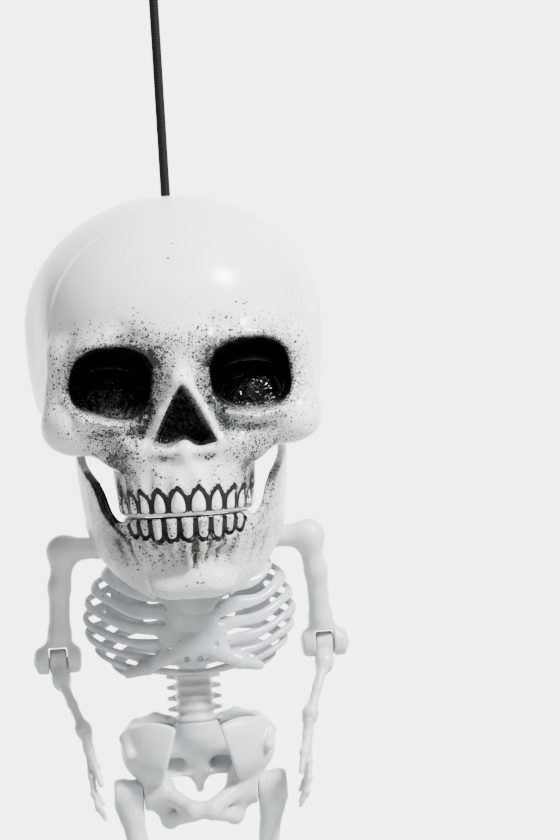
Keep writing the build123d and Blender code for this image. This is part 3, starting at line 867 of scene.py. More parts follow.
def make_base():
    """The inset underside with the neck's boss and the jaw pins' bosses."""
    f = Field((-42, -22, -103), (42, 52, -80), SKULL_STEP)
    f.add(egg((0, 0, VAULT_Z), VAULT - (2.2, 2.0, 1.6)))
    f.cut(slab((0, 0, -50), (90, 90, 34), None, 0.5), 0.5)
    f.cut(slab((0, -120, -90), (90, 100.5, 40), None, 0.5), 1.0)
    f.cut_pair(slab((60, 0, -90), (20.2, 12, 30), None, 1.5), 1.5)
    f.add(rod((0, NECK_Y, -88), (0, NECK_Y, -94), 10, 8.5), 4)
    f.cut(rod((0, NECK_Y, -110), (0, NECK_Y, -98.6), 14, 14), 1)
    f.cut_pair(egg((15, 20, -101), (10, 9, 6)), 5)
    f.add_pair(rod((36, JAW_HINGE[1], JAW_HINGE[2]), (39, JAW_HINGE[1], JAW_HINGE[2]), 3.4), 2)
    base = f.mesh("skull_base")
    x, y, z = points_of(base).T
    flat = np.full(len(x), 9.0)
    paint(base, ink=flat, hole=flat, soot=0.25 * np.exp(-((y + 12) / 14) ** 2))
    settle(base, "head", "skull_base_plate", "skull_base_plastic")


# ----------------------------------------------------------------- the lower jaw
def horseshoe(x, y, z):
    """Distance outside the jaw's outline, an oval that narrows downward."""
    drop = np.clip((TEETH_LINE + 2 - z) / 34, 0, 1.2)
    a = np.interp(z, (-127, -110, -86), (41.2, 43.0, 44.2)) - 3.0 * drop - 9.0 * drop ** 2
    b = 56.0 - 13.0 * drop ** 0.9
    return ellipsoid((x, y), (a, b))


def jaw_body():
    """The horseshoe of the jaw below its teeth, leaning in towards the chin."""

    def distance(x, y, z):
        wall = np.abs(horseshoe(x, y, z) + 3.6) - 3.4
        floor = np.where(y < -38, -159.3, -159.3 + 25.0 * (y + 38) / 41) - z
        roof = z - (TEETH_LINE - 1.6 - 1.6 * smooth_step(-46, -34, y))
        d = smooth_max(wall, floor * 0.83, 5.0)
        d = smooth_max(d, roof, 2.0)
        return smooth_max(d, y - 2.6, 1.5)

    return Shape((-44, -59, -166), (44, 4, -127), distance)


def ramus_front(z):
    """How far forward the upright part of the jaw reaches at a height."""
    return np.interp(z, (-136, -131, -127, -122, -117, -112.5, -109, -105, -98, -86),
                     (-42, -38.5, -34.8, -32.4, -30.4, -27, -20.5, -12, -5.5, -2.6))


def ramus():
    """The side of the jaw that rises to the hinge, hollowed at its front edge."""

    def distance(x, y, z):
        across = np.abs(horseshoe(x, y, z) + 1.95) - 1.85
        back = y - (2.9 + 0.012 * (z + 110))
        front = (ramus_front(z) - y) * 0.72
        top = z - (JAW_HINGE[2] + 2.6)
        bottom = (-135.5 + 0.68 * (y - 2)) - z
        d = smooth_max(front, back, 1.5)
        d = smooth_max(d, top, 2.5)
        d = smooth_max(d, bottom * 0.83, 3.0)
        return smooth_max(d, across, 1.7)

    return Shape((20, -44, -160), (47, 5, -84), distance)


def make_jaw():
    """The lower jaw with its teeth, inked between them, streaked below, and with painted shade on
    its side away from the key lamp.
    """
    f = Field((-47, -60, -166), (47, 6, -83), SKULL_STEP * 0.86)
    f.add(jaw_body())
    f.add_pair(ramus(), 2.5)
    y, z = JAW_HINGE[1:]
    f.add_pair(rod((42.0, y, z), (43.9, y, z), 2.9), 1.5)
    teeth = tooth_wall(lower_teeth(), -1, LOWER_ARCH, -141, TEETH_LINE - 0.45, 6.5, flare=-0.10)
    f.add(teeth, 2.5)
    for tooth in lower_teeth():
        angle = tooth[0] / 26.4
        top = (24.0 * math.sin(angle), ARCH_Y - 26.2 * math.cos(angle), -137)
        low = (22.0 * math.sin(angle), ARCH_Y - 22.6 * math.cos(angle), -146)
        f.add(rod(top, low, 1.7, 1.2), 3.0)
    f.add(egg((0, -42.4, -152.6), (14, 5.8, 6.3)), 6)
    f.add_pair(egg((10, -41.0, -154.2), (6.2, 4.8, 4.4)), 5)
    f.cut_pair(egg((17, -51.5, -147), (9.5, 5.5, 7)), 7)
    f.cut(bore((0, y, z), 1.55, 60), 0.4)
    jaw = f.mesh("jaw")
    x, y, z = points_of(jaw).T
    way, out = arch_place(x, y, LOWER_ARCH)
    ink = tooth_outline(way, z, lower_teeth(), -1)
    band = (z > -144) & (out > -4.5) & (y < -18)
    ink = np.where(band, ink, 9.0)
    edge = np.exp(-((y - ramus_front(z) - 0.5) / 1.7) ** 2) * (np.abs(x) > 25)
    edge = edge * smooth_step(-142, -136, z) * smooth_step(-104, -111, z)
    edge = edge * np.where(x < 0, 1.0, 0.62)
    hole = 9.0 - 10.5 * np.clip(edge * 1.25, 0, 1)
    wave = 0.5 + 0.5 * np.cos((way - lower_teeth()[0][0]) / 6.2 * 2 * math.pi + math.pi)
    uneven = 0.55 + 0.45 * np.sin(way * 0.61 + 1.1) * np.cos(way * 0.23)
    centred = 0.30 + 0.70 * np.exp(-((way - 2.5) / 11) ** 2)
    streak = wave * uneven * centred * smooth_step(-150, -141, z) * smooth_step(-134, -137, z)
    streak = streak * (y < -25)
    gum = smooth_step(-149, -135, z) * (y < -20)
    soot = 3.2 * streak + 0.40 * gum + 0.8 * edge + 0.06
    # painted shade: the side away from the key lamp darkened through the brown wash
    shaded = smooth_step(-14, -40, x) * smooth_step(-160, -140, z)
    rust = 0.75 * shaded + 1.5 * streak + 0.22 * gum + 0.08
    paint(jaw, ink=ink, hole=hole, soot=soot, rust=rust)
    settle(jaw, "jaw", "mandible", "jaw_plastic")


# ------------------------------------------------------------------ the body
def cavity(field, points, normals, reach=2.6):
    """How closed-in each point is: 0 on open bone, near 1 in a crevice."""
    low = np.array([a[0] for a in field.axes], float)
    at = (points + normals * reach - low) / field.step
    at = np.clip(at, 0, np.array(field.values.shape) - 1.001)
    value, _ = sample(field.values, at)
    return np.clip(1 - value / reach, 0, 1)


def body_piece(field, name, body, node, slot="body_plastic", pair=False):
    """One piece from a field, or a left and a right one."""
    points, quads, normals = surface_net(field)
    # how closed-in each point is, for the painted shade in crevices
    pit = cavity(field, points, normals)
    sides = (("_left", 1), ("_right", -1)) if pair else (("", 1),)
    for side, s in sides:
        flip = np.array((s, 1, 1))
        turned = quads if s > 0 else quads[:, ::-1]
        piece = new_piece(name + side, points * flip, turned, normals * flip)
        paint(piece, pit=pit)
        owner = f"{side[1:]}_{body}" if pair else body
        settle(piece, owner, node + side, slot)


def along(a, b, share, dx=0.0, dy=0.0, dz=0.0):
    """The point at a share of the way from a to b, moved a little."""
    a, b = np.array(a, float), np.array(b, float)
    return a + (b - a) * share + np.array((dx, dy, dz))


def disc(centre, radius, half_width, soft=0.8):
    """A short drum along X with rounded edges."""
    cx, cy, cz = centre

    def distance(x, y, z):
        round_part = np.hypot(y - cy, z - cz) - (radius - soft)
        flat_part = np.abs(x - cx) - (half_width - soft)
        outside = np.hypot(np.maximum(round_part, 0), np.maximum(flat_part, 0))
        return outside + np.minimum(np.maximum(round_part, flat_part), 0) - soft

    reach = np.array((half_width, radius, radius))
    return Shape(np.array(centre) - reach, np.array(centre) + reach, distance)


def make_neck():
    """The rounded top knob over five fused bones."""
    low, high = node_box("cervical_spine")
    top = high[2]
    f = Field((-22, 18, -143), (22, 60, -97), FINE)
    f.add(egg((0, NECK_Y + 4.5, -104), (18.6, 16.4, 5.9)))
    f.add_pair(egg((12.5, NECK_Y + 2, -104.5), (7.5, 8.5, 4.6)), 4)
    f.add(egg((0, NECK_Y + 15, -104.6), (7, 5.5, 4.4)), 4)
    f.add(rod((0, NECK_Y, -108), (0, NECK_Y, -140), 8.1, 7.7), 4)
    for z in (-114.5, -121, -127.5, -134):
        f.add(egg((0, NECK_Y, z), (10.4, 9.3, 2.5)), 1.6)
        f.add_pair(rod((7, NECK_Y + 1, z), (12.2, NECK_Y + 4.5, z - 1.4), 1.9, 1.3), 1.8)
        f.add(rod((0, NECK_Y + 7, z), (0, NECK_Y + 13.5, z - 3.2), 1.9, 1.2), 1.8)
    f.add(rod((0, NECK_Y, -137), (0, NECK_Y, -140.9), 9.5, 10.5), 3)
    f.cut(block((0, 30, top + 20), (40, 60, 20)), 1.4)
    f.cut(block((0, 30, low[2] - 20), (40, 60, 20)), 0.3)
    f.cut(rod((0, NECK_Y, -96), (0, NECK_Y, -118), 3.6), 0.4)
    f.cut(rod((0, NECK_Y, -120.0), (0, NECK_Y, -120.4), 6.35), 0.4)
    body_piece(f, "neck_bones", "torso", "cervical_spine")


RIB_CENTRE = np.array((0, 24.5, -171))
RIB_SIZES = np.array((45.0, 19.0, 33.0))
RIB_PITCH, RIB_FIRST, RIB_COUNT = 7.3, 21.5, 7


def rib_bands(x, y, z):
    """The cage's wall kept only where a rib runs, falling to the front."""
    out = ellipsoid(from_middle(x, y, z, RIB_CENTRE, None), RIB_SIZES)
    ahead = np.clip((RIB_CENTRE[1] - y) / RIB_SIZES[1], -1, 1)
    side = np.clip(np.abs(x) / RIB_SIZES[0], 0, 1)
    fall = 0.51 * (y - RIB_CENTRE[1])
    fall = fall - (1 - side) * (7.5 * np.clip(ahead, 0, 1) - 1.6 * np.clip(-ahead, 0, 1))
    level = z - RIB_CENTRE[2] - fall + 0.7 * np.sin(x * 0.23 + y * 0.11)
    rib = np.clip(np.round((RIB_FIRST - level) / RIB_PITCH), 0, RIB_COUNT - 1)
    off = np.abs(level - (RIB_FIRST - rib * RIB_PITCH)) * 0.86
    half = 1.72 + 0.75 * smooth_step(0.55, 0.95, ahead) + 0.35 * smooth_step(0.5, 0.9, -ahead)
    half = half + 0.22 * np.sin(x * 0.31 + rib * 2.1)
    wall = np.abs(out + 1.55 - 0.25 * np.sin(x * 0.2 + rib)) - 1.45
    return smooth_max(wall, off - half, 1.9)


def make_ribs_front():
    """The front ribs with the breastbone and the rising edges below it."""
    mid = RIB_CENTRE[1]
    low, high = RIB_CENTRE - RIB_SIZES, RIB_CENTRE + RIB_SIZES
    front = Field((-46, 1, -198), (46, mid + 0.5, -146), FINE)
    front.add(Shape(low, (high[0], mid + 4, high[2]), rib_bands))
    front.add(slab((0, 8.2, -163), (9.5, 1.8, 12), None, 1.6), 3)
    front.add(slab((0, 8.0, -177), (8.0, 1.8, 10), None, 1.6), 3)
    front.add(rod((0, 7.4, -184), (0, 8.6, -193), 3.4, 2.2, (1.2, 0.7, 1)), 3)
    for s in (1, -1):
        edge = [(s * 3, 7.2, -183), (s * 11, 7.8, -187.5), (s * 19, 9.6, -191.5),
                (s * 27, 13, -194)]
        front.add(path_rods(edge, (3.3, 2.9, 2.6, 2.2), (1, 0.75, 1)), 2.2)
        front.add(egg((s * 7.5, 7.6, -180), (5.5, 1.8, 5.5)), 3)
    front.cut(slab((0, 4, -206), (12.5, 6.5, 12.5), turn(0, 45, 0), 1.5), 1.5)
    front.cut_pair(rod((2.7, 0, -189), (2.7, 14, -189), 1.15), 0.6)
    front.cut_pair(rod((9.5, 0, -183.4), (9.5, 14, -183.4), 1.0), 0.6)
    front.cut(block((0, 0, -206.2), (60, 60, 10)), 0.8)
    front.cut(block((0, 0, -136.8), (60, 60, 10)), 0.8)
    front.cut(block((0, mid + 9.95, -170), (60, 10, 40)), 0.2)
    body_piece(front, "ribs_front", "torso", "rib_cage_front", "rib_plastic")


def make_ribs_back():
    """The back ribs with the spine, shoulder blades and shoulder sockets."""
    mid = RIB_CENTRE[1]
    low, high = RIB_CENTRE - RIB_SIZES, RIB_CENTRE + RIB_SIZES
    back = Field((-46, 10, -198), (46, 46, -133), FINE)
    back.add(Shape((low[0], mid - 4, low[2]), high, rib_bands))
    back.cut(block((0, mid - 10.0, -176), (60, 10, 34.5)), 0.2)
    back.cut(block((0, 20, -136.8), (60, 60, 10)), 0.8)
    top, bottom = (0, NECK_Y, -141), (0, NECK_Y - 5, -196)
    spine = partial(along, top, bottom)
    back.add(rod(spine(0.06), spine(0.94), 6.0, 6.6), 3)
    for i in range(8):
        z = -147 - 6.3 * i
        at = spine((top[2] - z) / 55)
        back.add(egg(at, (8.2, 6.8, 2.3)), 1.6)
        back.add(rod(at + (0, 5.5, 0), (0, 44.2 - 0.22 * i, z - 3.6), 1.8, 1.1), 2)
        back.add_pair(rod(at + (5, 2, 0), at + (10.5, 4.5, -0.6), 2.0, 1.4), 2)
    sy, sz = SHOULDER[1], SHOULDER[2]
    back.add_pair(rod((12, sy, sz), (SHOULDER[0] - 4.6, sy, sz), 5.3, 4.9), 3)
    back.add_pair(disc((SHOULDER[0] - 2.4, sy, sz), 5.6, 2.35), 1.5)
    back.add_pair(rod((3, NECK_Y - 4, -146), (16, sy + 1, sz - 1.5), 4.5, 4.6), 4)
    back.add_pair(rod((20, sy + 3, sz - 2), (23, 31, -150), 3.6, 3.0), 4)
    back.add_pair(slab((24, 37.4, -161), (8.5, 1.5, 13.5), turn(9, -14, -30), 1.4), 2.0)
    back.add_pair(rod((14, 41, -152), (31, 30.5, -148), 1.8, 2.4), 2.5)
    back.cut(bore((0, sy, sz), 3.1, 40), 0.5)
    back.cut(block((0, NECK_Y, -131), (14, 14, 10.0)), 0.3)
    back.cut(block((0, 20, -206.05), (60, 60, 10)), 0.5)
    body_piece(back, "ribs_back", "torso", "rib_cage_back", "rib_plastic")


def make_lumbar():
    """The lower spine with its plates and spurs."""
    f = Field((-13, 17, -219), (13, 45, -194), FINE)
    spine = partial(along, (0, 29.0, -196), (0, 27.0, -217))
    f.add(rod(spine(-0.1), spine(1.1), 7.2))
    for i in range(5):
        z = -197.6 - 4.5 * i
        at = spine((-196 - z) / 21)
        f.add(egg(at, (8.3, 8.3, 1.7)), 1.5)
        f.add(rod(at + (0, 5, -0.4), at + (0, 11.6, 1.2), 1.9, 1.3), 1.6)
        f.add(rod(at + (0, 11.4, 1.2), at + (0, 13.2, -1.3), 1.3, 1.0), 1.0)
        f.add_pair(rod(at + (5, 1, -0.5), at + (10.6, 2.5, -0.8), 1.5, 1.0), 1.6)
    f.cut(block((0, 30, -227.0), (40, 60, 10)), 0.3)
    f.cut(block((0, 30, -186.0), (40, 60, 10)), 0.3)
    body_piece(f, "lumbar_bones", "torso", "lumbar_spine")


HIP_FACE = 23.6              # outer face of a hip socket


def make_pelvis():
    """The pelvis: blades, tailbone, hip sockets and the lower ring."""
    f = Field((-34, -2, -262), (34, 42, -210), FINE)

    def wings(x, y, z):
        """The two blades: an ellipsoid's wall below a crest, open in the middle."""
        out = ellipsoid((x, y - 20, z + 226), (32.6, 19.6, 20.6))
        wall = np.abs(out + 1.5 + 0.4 * np.sin(z * 0.3)) - 1.5
        crest = z - (-214.6 - 0.022 * (np.abs(x) - 19) ** 2)
        inner = (8.5 + 0.30 * np.clip(-(z + 216), 0, 40)) - np.abs(x)
        inner = np.where(y < 24, inner, inner - 12)
        foot = -240.5 - z
        d = smooth_max(wall, crest, 1.8)
        d = smooth_max(d, inner, 1.8)
        return smooth_max(d, foot, 2.0)

    f.add(Shape((-33, 0, -247), (33, 40, -211), wings))
    rim = [(9, 33, -217), (17, 31.5, -215.2), (25, 24, -216.6), (30, 15, -221), (29, 9, -227)]
    f.add_pair(path_rods([np.array(p, float) for p in rim], (2.0, 2.3, 2.4, 2.3, 2.0)), 2)
    f.add(rod((0, 27, -216), (0, 28, -221), 8.0, 8.6), 3)
    f.add(rod((0, 28, -222), (0, 33.5, -240), 8.2, 3.6, (1, 0.75, 1)), 4)
    f.add(rod((0, 33.5, -240), (0, 31, -246), 2.6, 1.7), 2)
    f.add_pair(rod((5, 30, -226), (19, 29, -229), 5.6, 4.2), 4)
    for i in range(3):
        f.add(egg((0, 36.2 + 0.7 * i, -223.5 - 5 * i), (1.8, 1.8, 2.0)), 1.6)
        f.cut_pair(egg((4.2 - 0.5 * i, 36.5 + 0.4 * i, -225.5 - 4.6 * i), (1.0, 2.4, 1.1)), 0.8)
    hy, hz = HIP[1], HIP[2]
    f.add_pair(rod((22, 21, -229), (16.6, hy, hz), 5.0, 6.2), 5)
    f.add_pair(disc((HIP_FACE - 4.2, hy, hz), 7.3, 4.2, 1.2), 3)
    f.add_pair(rod((17, hy - 2, hz + 1), (4, 6.5, -251), 4.0, 3.2), 3.5)
    f.add_pair(rod((17, hy, hz), (13.5, 19, -256.4), 4.6, 3.7), 3.5)
    f.add_pair(rod((13.5, 19, -256.4), (4, 7, -253.5), 3.2, 2.7), 2.5)
    f.add(rod((-4, 6.4, -251.5), (4, 6.4, -251.5), 3.3), 2.5)
    f.add_pair(rod((17, 28, -236), (13.5, 24, -252), 2.6, 2.2), 3)
    f.cut(block((0, 28, -207.0), (9.0, 12, 10)), 0.3)
    f.cut_pair(rod((HIP_FACE + 9, hy, hz), (HIP_FACE + 30, hy, hz), 9.0), 0.3)
    f.cut_pair(rod((15, hy, hz), (40, hy, hz), HIP_PIN_RADIUS + 0.05), 0.3)
    body_piece(f, "pelvis_bones", "torso", "pelvis")


# -------------------------------------------------------------------------- arms
WRIST = np.array((46.0, 11.0, -219.0))
FINGERTIP = np.array((42.5, 5.0, -252.0))
SHOULDER_OUT = 52.0          # the arm turns down here


def make_upper_arm():
    """A stub in the shoulder, the corner, the shaft and the elbow's fork."""
    f = Field((14, 8, -196), (67, 36, -133), FINE)
    sy, sz = SHOULDER[1], SHOULDER[2]
    corner = np.array((SHOULDER_OUT - 1.2, sy, sz - 0.3))
    f.add(rod((16.2, sy, sz), (33, sy, sz), 2.95))
    f.add(rod((35.6, sy, sz), corner, 4.35, 5.2))
    f.add(disc((34.4, sy, sz), 4.7, 3.9, 1.4), 1.6)
    f.add(egg(corner + (0.6, 0, -0.4), (6.4, 5.2, 5.7)), 3)
    f.add(rod(corner, (53.6, 20.4, -157), 5.0, 4.4), 4)
    f.add(rod((53.6, 20.4, -157), along(corner, ELBOW, 0.76), 4.4, 4.5), 3)
    f.add(rod(along(corner, ELBOW, 0.76), along(corner, ELBOW, 0.9), 4.5, 5.0), 3)
    f.add(rod(ELBOW + (-4.6, 0, 0.7), ELBOW + (4.6, 0, 0.7), 5.1), 6)
    f.add(disc(ELBOW, 5.3, 9.2, 1.8), 2.5)
    f.add(rod(ELBOW + (0, 3.0, 9), ELBOW + (0, 4.0, 4), 2.4, 2.0), 3)
    slot = slab(ELBOW + (0, 0, -7.1), (3.95, 12, 12.85), None, 0.6)
    f.cut(slot, 0.4)
    f.cut(bore(ELBOW, PIN_RADIUS), 0.3)
    body_piece(f, "upper_arm_bone", "upper_arm", "upper_arm", pair=True)


def make_forearm():
    """Two thin bones between the elbow's tongue and the wrist."""
    arm = partial(along, ELBOW, WRIST)
    f = Field((40, 4, -224), (62, 35, -181), FINE)
    f.add(disc(ELBOW, 4.95, 3.6, 0.9))
    near = arm(0.25, dx=1.6)
    far = arm(0.88)
    f.add(rod(ELBOW + (0, 0, -1), near, 3.3, 3.3), 2)
    f.add(rod(near + (0, -1, 1), near + (0, 1.5, -1), 3.7), 2.5)
    bow = along(near, far, 0.5)
    ulna = [near + (0, 2.0, 0), bow + (0.3, 3.2, 0), far + (0, 2.0, 0)]
    radius = [near + (0, -2.0, 0), bow + (-0.3, -3.0, 0), far + (0, -2.2, 0)]
    f.add(path_rods(ulna, (2.3, 1.9, 2.1)), 1.6)
    f.add(path_rods(radius, (2.2, 1.8, 2.0)), 1.6)
    f.add(rod(arm(0.87, dy=-2), arm(0.87, dy=2), 2.9), 2)
    f.add(rod(arm(0.9), arm(0.97), 3.2, 2.9), 2)
    f.cut(bore(ELBOW, PIN_HOLE), 0.3)
    body_piece(f, "forearm_bone", "forearm", "forearm", pair=True)


def make_hand():
    """Four fingers and a thumb on a flat palm."""
    hand = partial(along, WRIST, FINGERTIP)
    f = Field((35, -8, -256), (51, 20, -214), FINE * 0.82)
    f.add(rod(along(ELBOW, WRIST, 0.97), hand(0.12), 3.1, 2.8, (0.8, 1.25, 1)))
    for i, (dy, reach) in enumerate(((-5.2, 0.93), (-1.8, 1.0), (1.6, 0.96), (5.0, 0.84))):
        root = hand(0.13, dy=dy * 0.35)
        knuckle = hand(0.46, dx=0.3, dy=dy)
        middle = hand(0.46 + (reach - 0.46) * 0.42, dx=0.6, dy=dy * 1.18)
        last = hand(0.46 + (reach - 0.46) * 0.75, dx=-0.3, dy=dy * 1.12)
        tip = hand(reach, dx=-2.2, dy=dy)
        f.add(rod(root, knuckle, 1.55, 1.35), 1.2)
        f.add(egg(knuckle, (1.75, 1.75, 1.9)), 0.8)
        f.add(path_rods([knuckle, middle, last, tip], (1.35, 1.2, 1.1, 0.85)), 0.5)
        for joint in (middle, last):
            f.add(egg(joint, (1.55, 1.5, 1.5)), 0.7)
    web = hand(0.28)
    f.add(slab(web, (1.0, 3.8, 5.5), turn(-10, -6, 0), 0.9), 1.0)
    thumb = hand(0.33, dx=-1.8, dy=-6.5)
    end = hand(0.55, dx=-3.0, dy=-9.3)
    f.add(path_rods([hand(0.12), thumb, end], (1.9, 1.6, 1.15)), 1.2)
    f.add(egg(thumb, (1.9, 1.9, 1.9)), 0.8)
    body_piece(f, "hand_bones", "forearm", "hand", pair=True)


# -------------------------------------------------------------------------- legs
ANKLE = np.array((16.5, 29.0, -369.0))


def make_thigh():
    """The hip's drum, the shaft and the knee's fork."""
    thigh = partial(along, HIP, KNEE)
    f = Field((8, 9, -318), (38, 34, -236), FINE)
    f.add(disc(HIP - (0.05, 0, 0), 6.2, 5.95, 1.2))
    f.add(egg(HIP + (2.4, 0, 0.5), (3.5, 6.0, 6.0)), 2)
    neck = thigh(0.12, dx=0.4)
    f.add(rod(HIP + (0.3, 0, -2), neck, 5.2, 5.0), 3)
    bow = thigh(0.5, dx=1.0)
    low = thigh(0.80)
    f.add(path_rods([neck, bow, low], (4.9, 4.1, 4.7)), 4)
    f.add(rod(low, thigh(0.9), 4.8, 5.6), 4)
    f.add(rod(KNEE + (-5.8, 0, 6.2), KNEE + (5.8, 0, 6.2), 4.6), 5)
    f.add(rod(KNEE + (-4.9, 0.4, 1.2), KNEE + (4.9, 0.4, 1.2), 5.5), 4)
    f.add(disc(KNEE, 6.1, 10.2, 2.2), 2.5)
    f.cut(slab(KNEE + (0, 0, -13.7), (4.45, 14, 20.0), None, 0.6), 0.4)
    f.cut(block((HIP_FACE - 9.7, 20, -246), (10, 30, 14)), 0.2)
    f.cut(bore(KNEE, PIN_RADIUS), 0.3)
    f.cut(rod(HIP - (20, 0, 0), HIP + (4, 0, 0), 1.86), 0.2)
    f.cut(disc(HIP + (9.0, 0, 0), 3.4, 5.0, 0.1), 0.3)
    body_piece(f, "thigh_bone", "thigh", "thigh", pair=True)


def make_shin():
    """Two bones between the knee's tongue and the ankle."""
    f = Field((5, 11, -373), (32, 39, -301), FINE)
    f.add(disc(KNEE, 5.75, 4.1, 0.9))
    near = along(KNEE, ANKLE, 0.2)
    far = along(KNEE, ANKLE, 0.88)
    f.add(rod(KNEE + (0, 0, -2), near, 4.0, 4.3), 2)
    f.add(rod(near + (-5.2, 0, -0.5), near + (5.2, 0.6, -0.5), 4.1), 4)
    bow = along(near, far, 0.45)
    tibia = [near + (-1.8, -0.4, -2), bow + (-1.9, -0.8, 0), far + (-1.5, 0, 0)]
    fibula = [near + (4.8, 1.8, -2), bow + (4.4, 2.0, 0), far + (3.6, 1.5, 0)]
    f.add(path_rods(tibia, (4.2, 3.4, 3.2)), 2)
    f.add(path_rods(fibula, (2.4, 1.9, 2.1)), 1.4)
    f.add(rod(far + (-1.2, 0, 0), far + (2.6, 0.8, 0), 4.0, 3.6), 3)
    f.add(rod(far, ANKLE + (0, 0, 3), 4.4, 4.7), 3)
    f.add(egg(ANKLE + (-4.0, 0, 2.8), (2.6, 3.2, 3.4)), 2)
    f.add(egg(ANKLE + (4.2, 0.6, 2.2), (2.5, 3.0, 3.6)), 2)
    f.cut(block(ANKLE + (0, 0, -19.6), (30, 30, 20)), 0.3)
    f.cut(bore(KNEE, PIN_HOLE), 0.3)
    body_piece(f, "shin_bone", "shin", "shin", pair=True)


def make_foot():
    """Heel, instep and five toes."""
    f = Field((6, -10, -400), (32, 46, -363), FINE * 0.9)
    heel = np.array((17.9, 37.6, -385.4))
    ball = np.array((19.3, 8.0, -391.6))
    talus = ANKLE + (0, 2, -8.5)
    f.add(rod(ANKLE + (0, 0.4, -3), talus, 5.0, 5.6))
    f.add(rod(talus, heel, 5.4, 5.2), 3.5)
    f.add(egg(heel + (0, 0.8, -1.4), (5.6, 6.0, 5.6)), 3)
    f.add(rod(talus, along(ANKLE, ball, 0.58), 5.4, 4.0), 3)
    f.add(egg(ANKLE + (-4.6, 0.6, -4.5), (2.8, 3.6, 4.2)), 2.5)
    f.add(egg(ANKLE + (4.9, 1.2, -4.8), (2.8, 3.6, 4.2)), 2.5)
    for i, reach in enumerate((1.0, 0.98, 0.88, 0.76, 0.62)):
        spread = i - 2
        thick = 2.1 if i == 0 else 1.6
        root = along(ANKLE, ball, 0.5, dx=spread * 1.5)
        knuckle = ball + (spread * 3.5, 1.2 * i, 0)
        toe = np.array((knuckle[0] + spread * 0.7, ball[1] - 13.3 * reach, -396.6 + thick))
        f.add(rod(root, knuckle, 1.9, thick * 0.9), 1.0)
        f.add(egg(knuckle, (thick + 0.25,) * 3), 0.8)
        bend = along(knuckle, toe, 0.55, dz=1.1)
        f.add(path_rods([knuckle, bend, toe], (thick * 0.85, thick * 0.8, thick * 0.72)), 0.5)
        for at, big in ((bend, 1.12), (toe, 0.98)):
            f.add(egg(at, (thick * big, thick * big * 1.15, thick * big * 0.95)), 0.6)
    f.cut(block(ANKLE + (0, 0, 19.98), (30, 30, 20)), 0.3)
    body_piece(f, "foot_bones", "shin", "foot", pair=True)


# -------------------------------------------------------------- pins and washer
def ring_quads(rings, sides):
    """The faces between neighbouring rings of points."""
    i = np.arange(rings - 1)[:, None] * sides
    j = np.arange(sides)[None]
    k = (j + 1) % sides
    return np.stack([i + j, i + k, i + sides + k, i + sides + j], -1).reshape(-1, 4)


def lathe(name, start, end, profile, sides=40, hole=None):
    """A turned part: profile pairs are distance from start and radius."""
    start, end = np.array(start, float), np.array(end, float)
    axis = (end - start) / np.linalg.norm(end - start)
    one = np.cross(axis, (0.3, 0.9, 0.4))
    one /= np.linalg.norm(one)
    two = np.cross(axis, one)
    angles = np.arange(sides) * 2 * math.pi / sides
    rim = np.cos(angles)[:, None] * one + np.sin(angles)[:, None] * two
    rings = [start + axis * at + rim * max(r, 0.02) for at, r in profile]
    if hole:
        rings += [start + axis * profile[end][0] + rim * hole for end in (-1, 0)]
        rings.append(rings[0])
    piece = new_piece(name, np.concatenate(rings), ring_quads(len(rings), sides))
    reshape(piece, lambda bm: bmesh.ops.remove_doubles(bm, verts=bm.verts, dist=3e-5))
    sharp = piece.modifiers.new("edges", "BEVEL")
    sharp.width, sharp.segments, sharp.limit_method = 0.12 * MM, 2, "ANGLE"
    return piece


def pin_profile(length, radius, head, head_height, rise=0.35):
    """A pin's shank and its domed, slightly dished head."""
    return [(0, 0), (0, radius * 0.8), (0.5, radius), (length, radius), (length, head * 0.96),
            (length + head_height * 0.3, head), (length + head_height * (1 - rise), head * 0.93),
            (length + head_height, head * 0.62), (length + head_height * 0.86, head * 0.3),
            (length + head_height * 0.86, 0)]


def make_pins():
    """The pins of the jaw, elbows, knees and hips, the neck's peg and the washer."""
    def pin(name, body, node, start, way, profile):
        """A pin standing for a node, from its start and on along a direction."""
        start = np.array(start, float)
        piece = lathe(name, start, start + np.array(way, float), profile)
        paint(piece, pit=np.zeros(len(piece.data.vertices)))
        settle(piece, body, node, "pin_plastic")

    for side, s in (("left", 1), ("right", -1)):
        mirror = np.array((s, 1, 1))
        way = (s, 0, 0)
        jaw = JAW_HINGE + (s * 33.0, 0, 0)
        pin(f"jaw_hinge_pin_{side}", "head", f"jaw_pin_{side}", jaw, way,
            pin_profile(12.4, PIN_RADIUS, 2.4, 1.0))
        pin(f"elbow_rivet_{side}", f"{side}_upper_arm", f"elbow_pin_{side}",
            (ELBOW - (9.25, 0, 0)) * mirror, way, pin_profile(18.5, PIN_RADIUS, 2.6, 1.0))
        pin(f"knee_rivet_{side}", f"{side}_thigh", f"knee_pin_{side}",
            (KNEE - (10.25, 0, 0)) * mirror, way, pin_profile(20.5, PIN_RADIUS, 2.6, 1.0))
        pin(f"hip_rivet_{side}", "torso", f"hip_pin_{side}",
            (s * (HIP_FACE - 9), HIP[1], HIP[2]), way, pin_profile(19.6, HIP_PIN_RADIUS, 3.1, 1.4))
    pin("neck_pivot", "head", "neck_peg", (0, NECK_Y, -88), (0, 0, -1),
        [(0, 0), (0, 3.2), (0.4, 3.5), (30.5, 3.5), (30.5, 5.8), (31, 6), (33, 6), (33.5, 5.4),
         (33.5, 0)])
    low, high = node_box("cord_washer")
    ring = lathe("washer", (0, 0, low[2]), (0, 0, high[2]),
                 [(0, 2.6), (0, 7.1), (0.25, 7.5), (0.95, 7.5), (1.2, 7.1), (1.2, 2.6)], hole=2.25)
    paint(ring, pit=np.zeros(len(ring.data.vertices)))
    settle(ring, "head", "cord_washer", "washer_plastic")


